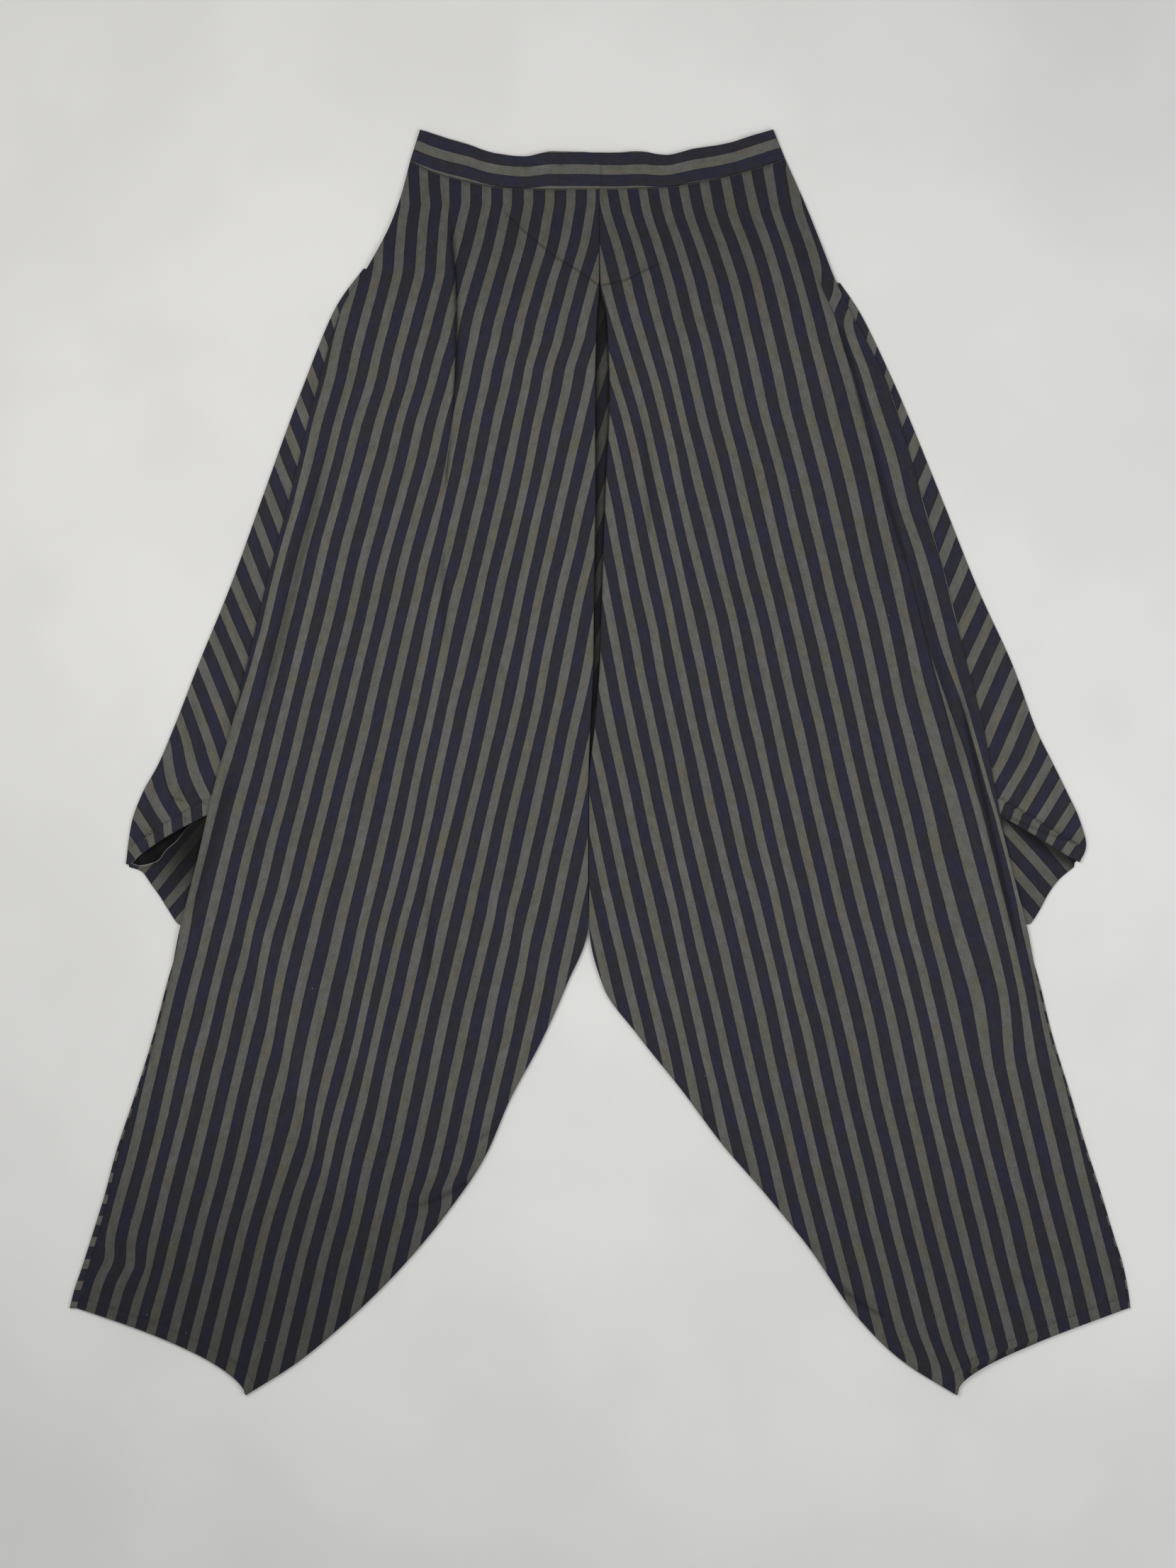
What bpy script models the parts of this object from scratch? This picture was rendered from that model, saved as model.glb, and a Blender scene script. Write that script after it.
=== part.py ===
# Striped hakama trousers lying flat, front up. Each cut piece of cloth is one closed wall.
# Left and right are as seen from the front. +X is the viewer's right, +Y the waist, +Z up,
# and the garment lies on the plane z = 0. Tables and lengths are in millimetres.

import math
from collections import namedtuple

import bmesh
import bpy

MM = 0.001

# Cloth and the way its layers lie on each other
WALL = 1.2
SEAM_GAP = 0.3
HALF_WALL = WALL / 2
TURN_RADIUS = 0.9
TURN_RISE = 2 * TURN_RADIUS
LAYER = WALL + SEAM_GAP
BACK_LEVEL = HALF_WALL
SECOND_LEVEL = BACK_LEVEL + LAYER
LAY_LEVEL = 3.2

# Grid densities
FRONT_COLUMNS = 22
FRONT_ROWS = 34
TURN_STEPS = 4
WING_COLUMNS = 8
WING_ROWS = 18
LOWER_COLUMNS = 4
LOWER_ROWS = 6
BAND_COLUMNS = 32
BAND_ROWS = 2
BACK_BAND_ROWS = 1
BACK_COLUMNS = 10
WING_BACK_COLUMNS = 2
UNDERLAY_COLUMNS = 2
UNDERLAY_ROWS = 10

# Where the panels reach under each other
WING_TUCK = 3.0
EDGE_BAND = 4.0
UNDERLAY_MARGIN = 4.0
SHELF_MARGIN = 2.0
FRONT_SHELF_RUN = 30.0
OUTER_SHELF = 4.0
OUTER_SHELF_RUN = 24.0
FLOOR_MARGIN = 3.0
INSEAM_INSET = 0.8
CROTCH = (-9.9, -137.1)
WAIST_CENTRE = (-0.6, 484.5)
SIDE_STRIP_START = -150.0
SIDE_STRIP_RAMP = 14.0
STRIP_FLAP = 6.0
STRIP_NARROW = 1.8
STRIP_WIDENS_AT = -290.0
STRIP_WIDENS_RUN = 170.0
STRIP_MARGIN = 0.2

# The shapes of folds, hems and crowns. A fold ends in a taper a fifth of its length, and its
# reach is in half widths. The fades keep folds off a panel's edges and off the waist.
FOLD_STEPS = 12
FOLD_LENGTH_WEIGHT = 0.35
FOLD_REACH = 1.6
FOLD_STEEPNESS = 2.2
FOLD_TAPERS = 5
INNER_FADE = 12.0
OUTER_FADE = 10.0
WAIST_FADES = 12
HEM_BEND = 0.7
CROWN_ROUND = 1.5

# The shares of the front's length where the pleat's underlay starts and ends
UNDERLAY_TOP = 0.10
UNDERLAY_BOTTOM = 0.555

NAVY = (0.028, 0.027, 0.037)
OLIVE = (0.090, 0.088, 0.076)

# One row for each section across a front panel, from the waist down to the hem. The inner
# end is the centre seam, the slit edge or the inseam; the outer end is the side seam. z is
# the middle of the wall, turned is how far the inner edge is turned under, and rise lifts
# the middle of the section along Y.
Section = namedtuple("Section", "x_in y_in z_in x_out y_out z_out turned rise")

FRONT_LEFT = [
    Section(-0.75, 483.9, 4.2, -160.5, 508.5, 2.1, 8, 0),
    Section(-0.75, 459.0, 4.8, -168.0, 480.0, 2.7, 16, 0),
    Section(-0.75, 435.0, 5.4, -177.3, 454.5, 3.3, 28, 0),
    Section(-0.75, 401.7, 5.4, -197.1, 417.3, 4.2, 36, 0),
    Section(-2.7, 375.3, 5.4, -216.3, 387.3, 4.2, 40, 0),
    Section(-4.2, 309.3, 5.4, -240.9, 309.3, 4.2, 40, 0),
    Section(-3.9, 225.3, 5.4, -261.9, 225.3, 4.2, 40, 0),
    Section(-5.1, 147.3, 5.4, -282.9, 147.3, 4.2, 40, 0),
    Section(-5.7, 81.3, 5.4, -298.5, 81.3, 4.2, 40, 0),
    Section(-8.1, 32.1, 5.4, -310.5, 33.3, 4.8, 40, 0),
    Section(-9.8, -20.7, 5.4, -326.1, -20.7, 5.5, 36, 0),
    Section(-9.9, -74.7, 5.4, -340.5, -83.7, 5.2, 26, 0),
    Section(-10.2, -137.1, 5.1, -354.9, -139.5, 3.9, 8, 0),
    Section(-28.5, -188.7, 3.9, -366.9, -188.7, 2.4, 6, 0),
    Section(-50.1, -236.7, 3.9, -379.5, -236.7, 2.4, 6, 0),
    Section(-75.9, -284.7, 3.9, -394.5, -284.7, 2.4, 6, 0),
    Section(-96.9, -332.7, 3.9, -409.5, -330.0, 2.4, 6, 2),
    Section(-129.3, -380.7, 3.9, -419.1, -366.0, 2.4, 6, 5),
    Section(-169.5, -428.7, 3.9, -429.3, -399.0, 2.4, 6, 8),
    Section(-218.7, -476.7, 3.9, -438.9, -429.0, 2.4, 6, 10),
    Section(-255.9, -507.3, 3.9, -444.9, -446.7, 2.4, 6, 12),
    Section(-298.8, -534.7, 3.9, -448.7, -461.4, 2.4, 6, 13),
]

FRONT_RIGHT = [
    Section(-0.45, 483.9, 4.2, 156.3, 510.3, 2.1, 8, 0),
    Section(-0.45, 459.0, 4.8, 174.0, 470.0, 2.7, 16, 0),
    Section(-0.45, 435.0, 5.4, 187.5, 436.0, 3.7, 28, 0),
    Section(0.3, 401.7, 5.4, 199.5, 405.3, 4.2, 36, 0),
    Section(5.7, 375.3, 5.4, 210.9, 381.3, 4.2, 40, 0),
    Section(8.1, 309.3, 5.4, 243.3, 318.3, 4.2, 40, 0),
    Section(4.5, 225.3, 5.4, 271.5, 225.3, 4.2, 40, 0),
    Section(1.8, 147.3, 5.4, 294.3, 147.3, 4.2, 40, 0),
    Section(-0.3, 81.3, 5.4, 310.5, 81.3, 4.2, 40, 0),
    Section(-4.5, 32.1, 5.4, 324.3, 27.3, 5.0, 40, 0),
    Section(-9.4, -20.7, 5.4, 333.3, -20.7, 5.5, 36, 0),
    Section(-9.4, -74.7, 5.4, 344.1, -74.7, 5.2, 26, 0),
    Section(-9.3, -137.1, 5.1, 360.3, -137.7, 3.9, 8, 0),
    Section(2.4, -188.7, 3.9, 371.7, -185.7, 2.4, 6, 0),
    Section(32.1, -230.7, 3.9, 382.5, -230.7, 2.4, 6, 0),
    Section(68.1, -275.7, 3.9, 396.3, -275.7, 2.4, 6, 0),
    Section(104.1, -323.7, 3.9, 410.7, -323.7, 2.4, 6, 2),
    Section(140.1, -365.1, 3.9, 423.3, -362.7, 2.4, 6, 5),
    Section(176.1, -409.5, 3.9, 434.1, -398.7, 2.4, 6, 8),
    Section(218.1, -469.5, 3.9, 442.5, -425.7, 2.4, 6, 10),
    Section(254.1, -504.9, 3.9, 446.7, -446.7, 2.4, 6, 11),
    Section(300.9, -534.7, 3.9, 448.7, -461.4, 2.4, 6, 12),
]

# One row for each lengthwise fold in a front panel: a curve from its start by its bend to
# its end, the height of its crest (a trough is below zero) and half its width.
Fold = namedtuple("Fold", "x1 y1 x2 y2 x3 y3 height half_width")

FOLDS_LEFT = [
    Fold(-126, 492, -120, 372, -134, 225, 3.0, 9),
    Fold(-190, 405, -232, 290, -288, 40, -1.0, 10),
    Fold(-206, 330, -234, 200, -272, 30, 1.4, 12),
    Fold(-140, 190, -132, 20, -146, -180, 1.6, 22),
    Fold(-60, 380, -70, 200, -56, 20, 1.2, 20),
    Fold(-310, -100, -262, -250, -212, -400, 2.0, 22),
    Fold(-352, -210, -366, -300, -384, -400, 1.6, 16),
    Fold(-98, -110, -62, -150, -50, -200, 1.2, 14),
    Fold(-210, -20, -190, -190, -205, -330, 1.2, 24),
]

FOLDS_RIGHT = [
    Fold(200, 372, 232, 250, 268, 60, -1.1, 12),
    Fold(188, 392, 214, 280, 246, 120, 3.4, 15),
    Fold(232, 300, 262, 180, 300, -10, 2.2, 12),
    Fold(136, 496, 152, 430, 176, 372, 1.6, 10),
    Fold(300, 10, 335, -100, 372, -260, 1.4, 12),
    Fold(60, -20, 68, -150, 74, -240, 1.8, 14),
    Fold(136, 20, 146, -80, 166, -240, 1.6, 18),
    Fold(56, 380, 72, 240, 62, 60, 1.4, 20),
    Fold(230, -40, 262, -200, 300, -380, 1.4, 26),
]

# The wings hang outside the side seams. The inner end of a section lies on the seam and the
# outer end on the folded outer edge; crown is how far the cloth rises between them.
WingSection = namedtuple("WingSection", "x_in y_in z_in x_out y_out z_out crown")

WING_FRONT_LEFT = [
    WingSection(-197.1, 417.3, 2.4, -199.3, 417.3, 2.1, 0),
    WingSection(-216.3, 387.3, 2.7, -221.1, 387.3, 2.1, 0),
    WingSection(-240.9, 309.3, 2.7, -253.5, 309.3, 2.1, 0.4),
    WingSection(-261.9, 225.3, 2.7, -284.1, 225.3, 2.1, 0.8),
    WingSection(-282.9, 147.3, 2.7, -312.3, 147.3, 2.1, 1.0),
    WingSection(-298.5, 81.3, 2.7, -339.3, 81.3, 2.1, 1.4),
    WingSection(-310.5, 33.3, 3.0, -357.9, 33.3, 2.1, 2.4),
    WingSection(-321.0, -1.5, 3.4, -372.6, -1.5, 2.1, 4.0),
    WingSection(-326.7, -19.5, 3.6, -386.4, -26.7, 2.1, 5.4),
    WingSection(-330.0, -32.7, 3.6, -395.1, -50.7, 2.1, 6.6),
    WingSection(-331.5, -42.9, 3.6, -400.5, -85.5, 2.1, 7.6),
]

WING_FRONT_RIGHT = [
    WingSection(199.5, 405.3, 2.4, 202.0, 405.3, 2.1, 0),
    WingSection(210.9, 381.3, 2.7, 217.5, 382.5, 2.1, 0),
    WingSection(243.3, 318.3, 2.7, 248.7, 318.3, 2.1, 0.3),
    WingSection(271.5, 225.3, 2.7, 287.1, 225.3, 2.1, 0.7),
    WingSection(294.3, 147.3, 2.7, 318.3, 147.3, 2.1, 1.0),
    WingSection(310.5, 81.3, 2.7, 348.3, 81.3, 2.1, 1.2),
    WingSection(324.3, 27.3, 3.2, 368.1, 27.3, 2.3, 1.4),
    WingSection(330.9, 0.3, 3.6, 381.3, 0.3, 2.8, 1.4),
    WingSection(333.3, -17.7, 3.6, 393.9, -25.5, 3.2, 1.2),
    WingSection(334.5, -29.7, 3.6, 404.1, -47.7, 3.6, 1.0),
    WingSection(335.7, -41.7, 3.6, 406.5, -84.3, 3.6, 0.8),
]

# The wing's back layer lies flat on the floor: the reach of its outer edge at each height,
# down to the lower outline of the pocket.
Reach = namedtuple("Reach", "y x_out")

WING_BACK_LEFT = [
    Reach(416.5, -199.8),
    Reach(387.3, -220.5),
    Reach(309.3, -253.0),
    Reach(225.3, -283.5),
    Reach(147.3, -311.8),
    Reach(81.3, -338.8),
    Reach(33.3, -357.4),
    Reach(-20.7, -382.5),
    Reach(-52.0, -394.6),
    Reach(-76.0, -400.0),
    Reach(-89.0, -390.6),
    Reach(-104.0, -378.0),
    Reach(-119.0, -368.0),
    Reach(-135.0, -357.0),
]

WING_BACK_RIGHT = [
    Reach(404.5, 202.6),
    Reach(381.3, 217.0),
    Reach(318.3, 248.4),
    Reach(225.3, 286.6),
    Reach(147.3, 317.8),
    Reach(81.3, 347.8),
    Reach(27.3, 367.6),
    Reach(-20.7, 390.5),
    Reach(-48.0, 403.6),
    Reach(-74.0, 410.4),
    Reach(-87.0, 402.0),
    Reach(-103.0, 384.0),
    Reach(-119.0, 374.0),
    Reach(-135.0, 362.5),
]

# The lower layer of the pocket, from its outer corner to where it goes under the leg. The
# in end is the back lip of the mouth and the out end the folded lower edge.
Strip = namedtuple("Strip", "x_in y_in x_out y_out")

WING_LOWER_LEFT = [
    Strip(-389.1, -87.6, -388.2, -90.6),
    Strip(-374.1, -83.1, -378.6, -103.2),
    Strip(-366.3, -73.5, -372.3, -111.9),
    Strip(-357.9, -66.3, -365.7, -122.4),
    Strip(-347.1, -53.1, -355.5, -136.2),
    Strip(-329.0, -45.0, -349.5, -134.4),
]

WING_LOWER_RIGHT = [
    Strip(400.5, -81.3, 398.4, -89.4),
    Strip(387.9, -74.1, 387.9, -98.4),
    Strip(372.9, -65.1, 378.3, -111.3),
    Strip(358.5, -54.9, 371.7, -123.6),
    Strip(345.3, -44.7, 362.1, -136.2),
    Strip(329.7, -43.0, 355.0, -134.4),
]

# The waistband: x along the band, the top edge and the seam with the fronts.
BandPoint = namedtuple("BandPoint", "x_top y_top x_bottom y_bottom")

WAISTBAND = [
    BandPoint(-152.1, 534.9, -160.5, 509.0),
    BandPoint(-135.9, 529.5, -141.0, 499.0),
    BandPoint(-111.9, 522.3, -114.0, 491.5),
    BandPoint(-87.9, 514.5, -89.0, 486.6),
    BandPoint(-63.9, 512.1, -64.0, 484.9),
    BandPoint(-39.9, 516.3, -40.0, 484.4),
    BandPoint(-15.9, 515.7, -16.0, 484.6),
    BandPoint(8.1, 515.1, 8.0, 484.7),
    BandPoint(32.1, 516.3, 32.0, 485.4),
    BandPoint(56.1, 513.3, 56.0, 486.4),
    BandPoint(80.1, 518.7, 81.0, 490.3),
    BandPoint(104.1, 522.3, 108.0, 495.6),
    BandPoint(128.1, 529.5, 136.0, 503.4),
    BandPoint(146.1, 534.9, 156.3, 510.8),
]
BAND_GAP = 0.4
BAND_REACH = 0.16
BAND_CROWN = 4.2
BAND_END_LEVEL = 2.1
BAND_END_FLAT = 1.0
BAND_END_RUN = 14.0
BACK_BAND_INSET = 0.8
BACK_BAND_WIDTH = 0.995


def mix(a, b, t):
    return a + (b - a) * t


def smooth_step(t):
    t = min(max(t, 0.0), 1.0)
    return t * t * (3 - 2 * t)


def shelf(distance, flat, run):
    # 1 up to the flat's end, then a smooth fall to 0 over the run
    return 1 - smooth_step((distance - flat) / run)


def slope(before, here, after):
    # The slope at a row that keeps the curve from passing beyond the rows on either side
    rise, run = here - before, after - here
    return 2 * rise * run / (rise + run) if rise * run > 0 else 0.0


def row_at(table, t):
    # A row between the table's rows, on a smooth curve through them in every column
    place = min(max(t, 0.0), 1.0) * (len(table) - 1)
    index = min(int(place), len(table) - 2)
    f = place - index
    before = table[max(index - 1, 0)]
    after = table[min(index + 2, len(table) - 1)]
    values = []
    for a, b, c, d in zip(before, table[index], table[index + 1], after):
        start = slope(a, b, c) if index else c - b
        end = slope(b, c, d) if index < len(table) - 2 else c - b
        values.append(b * (1 + 2 * f) * (1 - f) ** 2 + c * f * f * (3 - 2 * f)
                      + start * f * (1 - f) ** 2 - end * f * f * (1 - f))
    return type(table[0])(*values)


def fold_height(folds, x, y):
    # Sum of the folds' profiles at a point: round across, tapered to nothing at the ends
    total = 0.0
    for fold in folds:
        nearest = None
        for step in range(FOLD_STEPS + 1):
            t = step / FOLD_STEPS
            px = (1 - t) ** 2 * fold.x1 + 2 * t * (1 - t) * fold.x2 + t * t * fold.x3
            py = (1 - t) ** 2 * fold.y1 + 2 * t * (1 - t) * fold.y2 + t * t * fold.y3
            away = math.hypot(x - px, (y - py) * FOLD_LENGTH_WEIGHT)
            if nearest is None or away < nearest[0]:
                nearest = (away, t)
        across = nearest[0] / fold.half_width
        if across < FOLD_REACH:
            along = smooth_step(nearest[1] * FOLD_TAPERS)
            along *= smooth_step((1 - nearest[1]) * FOLD_TAPERS)
            total += fold.height * math.exp(-FOLD_STEEPNESS * across * across) * along
    return total


def band_seam(x):
    # The height of the waistband's lower seam at x
    last = len(WAISTBAND) - 1
    for k in range(last):
        a, b = WAISTBAND[k], WAISTBAND[k + 1]
        if x <= b.x_bottom or k == last - 1:
            t = (x - a.x_bottom) / (b.x_bottom - a.x_bottom)
            return row_at(WAISTBAND, (k + t) / last).y_bottom


def to_band(top, u, t):
    # The lift along Y that brings a panel's top edge up or down to the waistband's seam
    x, y = mix(top.x_out, top.x_in, u), mix(top.y_out, top.y_in, u)
    return (band_seam(x) - BAND_GAP - y) * shelf(t, 0, BAND_REACH)


def strip_flap(side, y):
    # How far the side strip's upper flap shows on the front, from the leg's edge inwards
    if side > 0:
        return STRIP_NARROW
    return mix(STRIP_NARROW, STRIP_FLAP, smooth_step((STRIP_WIDENS_AT - y) / STRIP_WIDENS_RUN))


def strip_ramp(y):
    # 0 down to the wing's lower end, 1 where the side strip starts
    return smooth_step((SIDE_STRIP_START + SIDE_STRIP_RAMP - y) / SIDE_STRIP_RAMP)


def outer_inset(side, y):
    # The front panel stops short of the side strip's upper flap, below the wing
    return strip_ramp(y) * (strip_flap(side, y) + SEAM_GAP)


def new_piece(name, columns, rows, place, color):
    # A grid of cloth whose point at column i and row j is place(i, j), with a wall
    mesh = bpy.data.meshes.new(name)
    bm = bmesh.new()
    bmesh.ops.create_grid(bm, x_segments=columns, y_segments=rows, size=0.5)
    for vert in bm.verts:
        i = round((vert.co.x + 0.5) * columns)
        j = round((vert.co.y + 0.5) * rows)
        vert.co = [value * MM for value in place(i, j)]
    bm.to_mesh(mesh)
    bm.free()
    mesh.shade_smooth()
    piece = bpy.data.objects.new(name, mesh)
    garment.objects.link(piece)
    wall = piece.modifiers.new("Wall", "SOLIDIFY")
    wall.thickness = WALL * MM
    wall.offset = 0.0
    material = bpy.data.materials.new(name + "_cloth")
    material.use_nodes = True
    shader = material.node_tree.nodes["Principled BSDF"]
    shader.inputs["Base Color"].default_value = (*color, 1.0)
    shader.inputs["Roughness"].default_value = 0.9
    shader.inputs["Metallic"].default_value = 0.0
    mesh.materials.append(material)
    return piece


def hem_bend(u):
    # The share of a section's rise at u, from the outer end to the inner end
    inward = (1 - u) ** HEM_BEND
    return 4 * inward * (1 - inward)


def make_front(name, table, folds, side):
    # A front panel: its outer edge band lies over the wing's tuck, its inner edge is turned
    # under, and its folds lie between them
    last = FRONT_COLUMNS + TURN_STEPS + 1

    def place(i, j):
        t = 1 - j / FRONT_ROWS
        row = row_at(table, t)
        x_edge = row.x_out - side * outer_inset(side, row.y_out)
        width = math.hypot(row.x_in - x_edge, row.y_in - row.y_out)
        ux, uy = (row.x_in - x_edge) / width, (row.y_in - row.y_out) / width
        flat = width - HALF_WALL - TURN_RADIUS
        if i <= FRONT_COLUMNS:
            along = max(i - 1, 0) / (FRONT_COLUMNS - 1) * (flat - EDGE_BAND) + min(i, 1) * EDGE_BAND
            u = along / flat
            x, y = x_edge + ux * along, row.y_out + uy * along
            to_inner, to_outer = flat - along, along
            z = LAY_LEVEL
            z += (row.z_in - LAY_LEVEL) * shelf(to_inner, row.turned + SHELF_MARGIN,
                                                   FRONT_SHELF_RUN)
            z += (row.z_out - LAY_LEVEL) * shelf(to_outer, OUTER_SHELF, OUTER_SHELF_RUN)
            quiet = smooth_step(to_inner / INNER_FADE) * smooth_step(to_outer / OUTER_FADE)
            z += fold_height(folds, x, y) * quiet * smooth_step(t * WAIST_FADES)
            lowest = SECOND_LEVEL
            if to_inner < row.turned + UNDERLAY_MARGIN + FLOOR_MARGIN:
                lowest = min(row.z_in, SECOND_LEVEL + LAYER)
            return x, y + row.rise * hem_bend(u) + to_band(table[0], u, t), max(z, lowest)
        if i <= FRONT_COLUMNS + TURN_STEPS:
            angle = math.pi * (i - FRONT_COLUMNS) / TURN_STEPS
            along = flat + TURN_RADIUS * math.sin(angle)
            drop = TURN_RADIUS * (1 - math.cos(angle))
        else:
            along = flat - row.turned
            drop = TURN_RISE
        lift = to_band(table[0], 1, t)
        return x_edge + ux * along, row.y_out + uy * along + lift, row.z_in - drop

    return new_piece(name, last, FRONT_ROWS, place, OLIVE)


def centre_back(y):
    # The centre back seam, from the middle of the waist to the crotch
    t = (WAIST_CENTRE[1] - y) / (WAIST_CENTRE[1] - CROTCH[1])
    return mix(WAIST_CENTRE[0], CROTCH[0], t)


def make_back(name, table, side):
    # A back panel: flat on the floor, under the front, with the same inseam and hem
    def place(i, j):
        t = 1 - j / FRONT_ROWS
        row = row_at(table, t)
        if row.y_in > CROTCH[1]:
            x_in = centre_back(row.y_in) + side * SEAM_GAP / 2
        else:
            x_in = row.x_in + side * INSEAM_INSET
        x_out = row.x_out - side * (SEAM_GAP + strip_ramp(row.y_out) * STRIP_FLAP)
        u = i / BACK_COLUMNS
        y = mix(row.y_out, row.y_in, u) + row.rise * hem_bend(u) + to_band(table[0], u, t)
        return mix(x_out, x_in, u), y, BACK_LEVEL

    return new_piece(name, BACK_COLUMNS, FRONT_ROWS, place, NAVY)


def make_side_strip(name, table, side):
    # The narrow side piece round the outer edge of the leg, from the wing to the hem
    rows = [j for j in range(FRONT_ROWS + 1)
            if row_at(table, 1 - j / FRONT_ROWS).y_out < SIDE_STRIP_START]
    last = len(rows) - 1
    columns = TURN_STEPS + 2

    def place(i, j):
        row = row_at(table, 1 - rows[j] / FRONT_ROWS)
        x_centre = row.x_out - side * (HALF_WALL + TURN_RADIUS)
        if i == 0:
            return row.x_out - side * (STRIP_FLAP - SEAM_GAP), row.y_out, BACK_LEVEL
        if i == columns:
            flap = max(strip_flap(side, row.y_out), HALF_WALL + TURN_RADIUS + STRIP_MARGIN)
            return row.x_out - side * flap, row.y_out, BACK_LEVEL + TURN_RISE
        angle = math.pi * (i - 1) / TURN_STEPS
        x = x_centre + side * TURN_RADIUS * math.sin(angle)
        return x, row.y_out, BACK_LEVEL + TURN_RADIUS * (1 - math.cos(angle))

    return new_piece(name, columns, last, place, NAVY)


def make_underlay(name):
    # The back of the centre pleat, seen in the slit, between the turned edges
    def place(i, j):
        t = mix(UNDERLAY_BOTTOM, UNDERLAY_TOP, j / UNDERLAY_ROWS)
        left, right = row_at(FRONT_LEFT, t), row_at(FRONT_RIGHT, t)
        x_left = left.x_in - left.turned - UNDERLAY_MARGIN
        x_right = right.x_in + right.turned + UNDERLAY_MARGIN
        u = i / UNDERLAY_COLUMNS
        return mix(x_left, x_right, u), mix(left.y_in, right.y_in, u), SECOND_LEVEL

    return new_piece(name, UNDERLAY_COLUMNS, UNDERLAY_ROWS, place, NAVY)


def make_wing_front(name, table, side):
    # The wing's front layer: its first column lies tucked under the front's edge, and the
    # others run from the seam down to the folded outer edge
    def place(i, j):
        row = row_at(table, 1 - j / WING_ROWS)
        if i == 0:
            return row.x_in - side * WING_TUCK, row.y_in, row.z_in
        u = (i - 1) / (WING_COLUMNS - 1)
        crown = row.crown * math.sin(math.pi * u) ** CROWN_ROUND
        return (mix(row.x_in, row.x_out, u), mix(row.y_in, row.y_out, u),
                mix(row.z_in, row.z_out, smooth_step(u)) + crown)

    return new_piece(name, WING_COLUMNS, WING_ROWS, place, OLIVE)


def side_seam(table, y):
    # Where the side seam of a panel lies at a height, on the straight runs between grid rows
    rows = [row_at(table, j / FRONT_ROWS) for j in range(FRONT_ROWS + 1)]
    for upper, lower in zip(rows, rows[1:]):
        if upper.y_out >= y >= lower.y_out:
            t = (upper.y_out - y) / (upper.y_out - lower.y_out)
            return mix(upper.x_out, lower.x_out, t)


def reach_at(table, y):
    last = len(table) - 1
    for k in range(last):
        if table[k].y >= y >= table[k + 1].y:
            t = (table[k].y - y) / (table[k].y - table[k + 1].y)
            return row_at(table, (k + t) / last).x_out


def make_wing_back(name, table, front, side):
    # The wing's back layer, beside the back panel on the floor: it has a row of points
    # wherever the side seam or its own outline bends
    heights = {row.y for row in table}
    heights |= {row_at(front, j / FRONT_ROWS).y_out for j in range(FRONT_ROWS + 1)}
    heights = sorted(y for y in heights if table[-1].y <= y <= table[0].y)

    def place(i, j):
        y = heights[j]
        x_in = side_seam(front, y) + side * SEAM_GAP
        return mix(x_in, reach_at(table, y), i / WING_BACK_COLUMNS), y, BACK_LEVEL

    return new_piece(name, WING_BACK_COLUMNS, len(heights) - 1, place, NAVY)


def make_wing_lower(name, table):
    # The pocket's lower layer, between the mouth's back lip and its folded lower edge
    def place(i, j):
        row = row_at(table, j / LOWER_ROWS)
        u = i / LOWER_COLUMNS
        return mix(row.x_in, row.x_out, u), mix(row.y_in, row.y_out, u), SECOND_LEVEL

    return new_piece(name, LOWER_COLUMNS, LOWER_ROWS, place, NAVY)


def make_band_front():
    # The waistband's front: level with the fronts' top edges, its ends lowered to the back
    def place(i, j):
        row = row_at(WAISTBAND, i / BAND_COLUMNS)
        v = j / BAND_ROWS
        x = mix(row.x_bottom, row.x_top, v)
        to_end = min(x - WAISTBAND[0].x_bottom, WAISTBAND[-1].x_bottom - x)
        z = mix(BAND_CROWN, BAND_END_LEVEL, shelf(to_end, BAND_END_FLAT, BAND_END_RUN))
        return x, mix(row.y_bottom, row.y_top, v), z

    return new_piece("waistband_front", BAND_COLUMNS, BAND_ROWS, place, NAVY)


def make_band_back():
    # The waistband's back, flat on the floor above the back panels
    def place(i, j):
        row = row_at(WAISTBAND, i / BAND_COLUMNS)
        v = j / BACK_BAND_ROWS
        x = mix(row.x_bottom, row.x_top, v)
        y = mix(row.y_bottom, row.y_top - BACK_BAND_INSET, v)
        return x * BACK_BAND_WIDTH, y, BACK_LEVEL

    return new_piece("waistband_back", BAND_COLUMNS, BACK_BAND_ROWS, place, NAVY)


for old in list(bpy.data.objects):
    bpy.data.objects.remove(old)
garment = bpy.data.collections.new("hakama_trousers")
bpy.context.scene.collection.children.link(garment)

LEFT, RIGHT = -1, 1
make_back("back_left", FRONT_LEFT, LEFT)
make_back("back_right", FRONT_RIGHT, RIGHT)
make_underlay("pleat_underlay")
make_front("front_left", FRONT_LEFT, FOLDS_LEFT, LEFT)
make_front("front_right", FRONT_RIGHT, FOLDS_RIGHT, RIGHT)
make_wing_back("wing_back_left", WING_BACK_LEFT, FRONT_LEFT, LEFT)
make_wing_back("wing_back_right", WING_BACK_RIGHT, FRONT_RIGHT, RIGHT)
make_wing_lower("wing_lower_left", WING_LOWER_LEFT)
make_wing_lower("wing_lower_right", WING_LOWER_RIGHT)
make_wing_front("wing_front_left", WING_FRONT_LEFT, LEFT)
make_wing_front("wing_front_right", WING_FRONT_RIGHT, RIGHT)
make_side_strip("side_strip_left", FRONT_LEFT, LEFT)
make_side_strip("side_strip_right", FRONT_RIGHT, RIGHT)
make_band_front()
make_band_back()
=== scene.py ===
# Hakama trousers laid flat, front up: cloth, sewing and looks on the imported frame.
# Left and right are as the viewer sees them. Tables and lengths are in millimetres.
import math
from collections import namedtuple

import bmesh
import bpy
import numpy as np
from mathutils import Matrix, Vector


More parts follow.
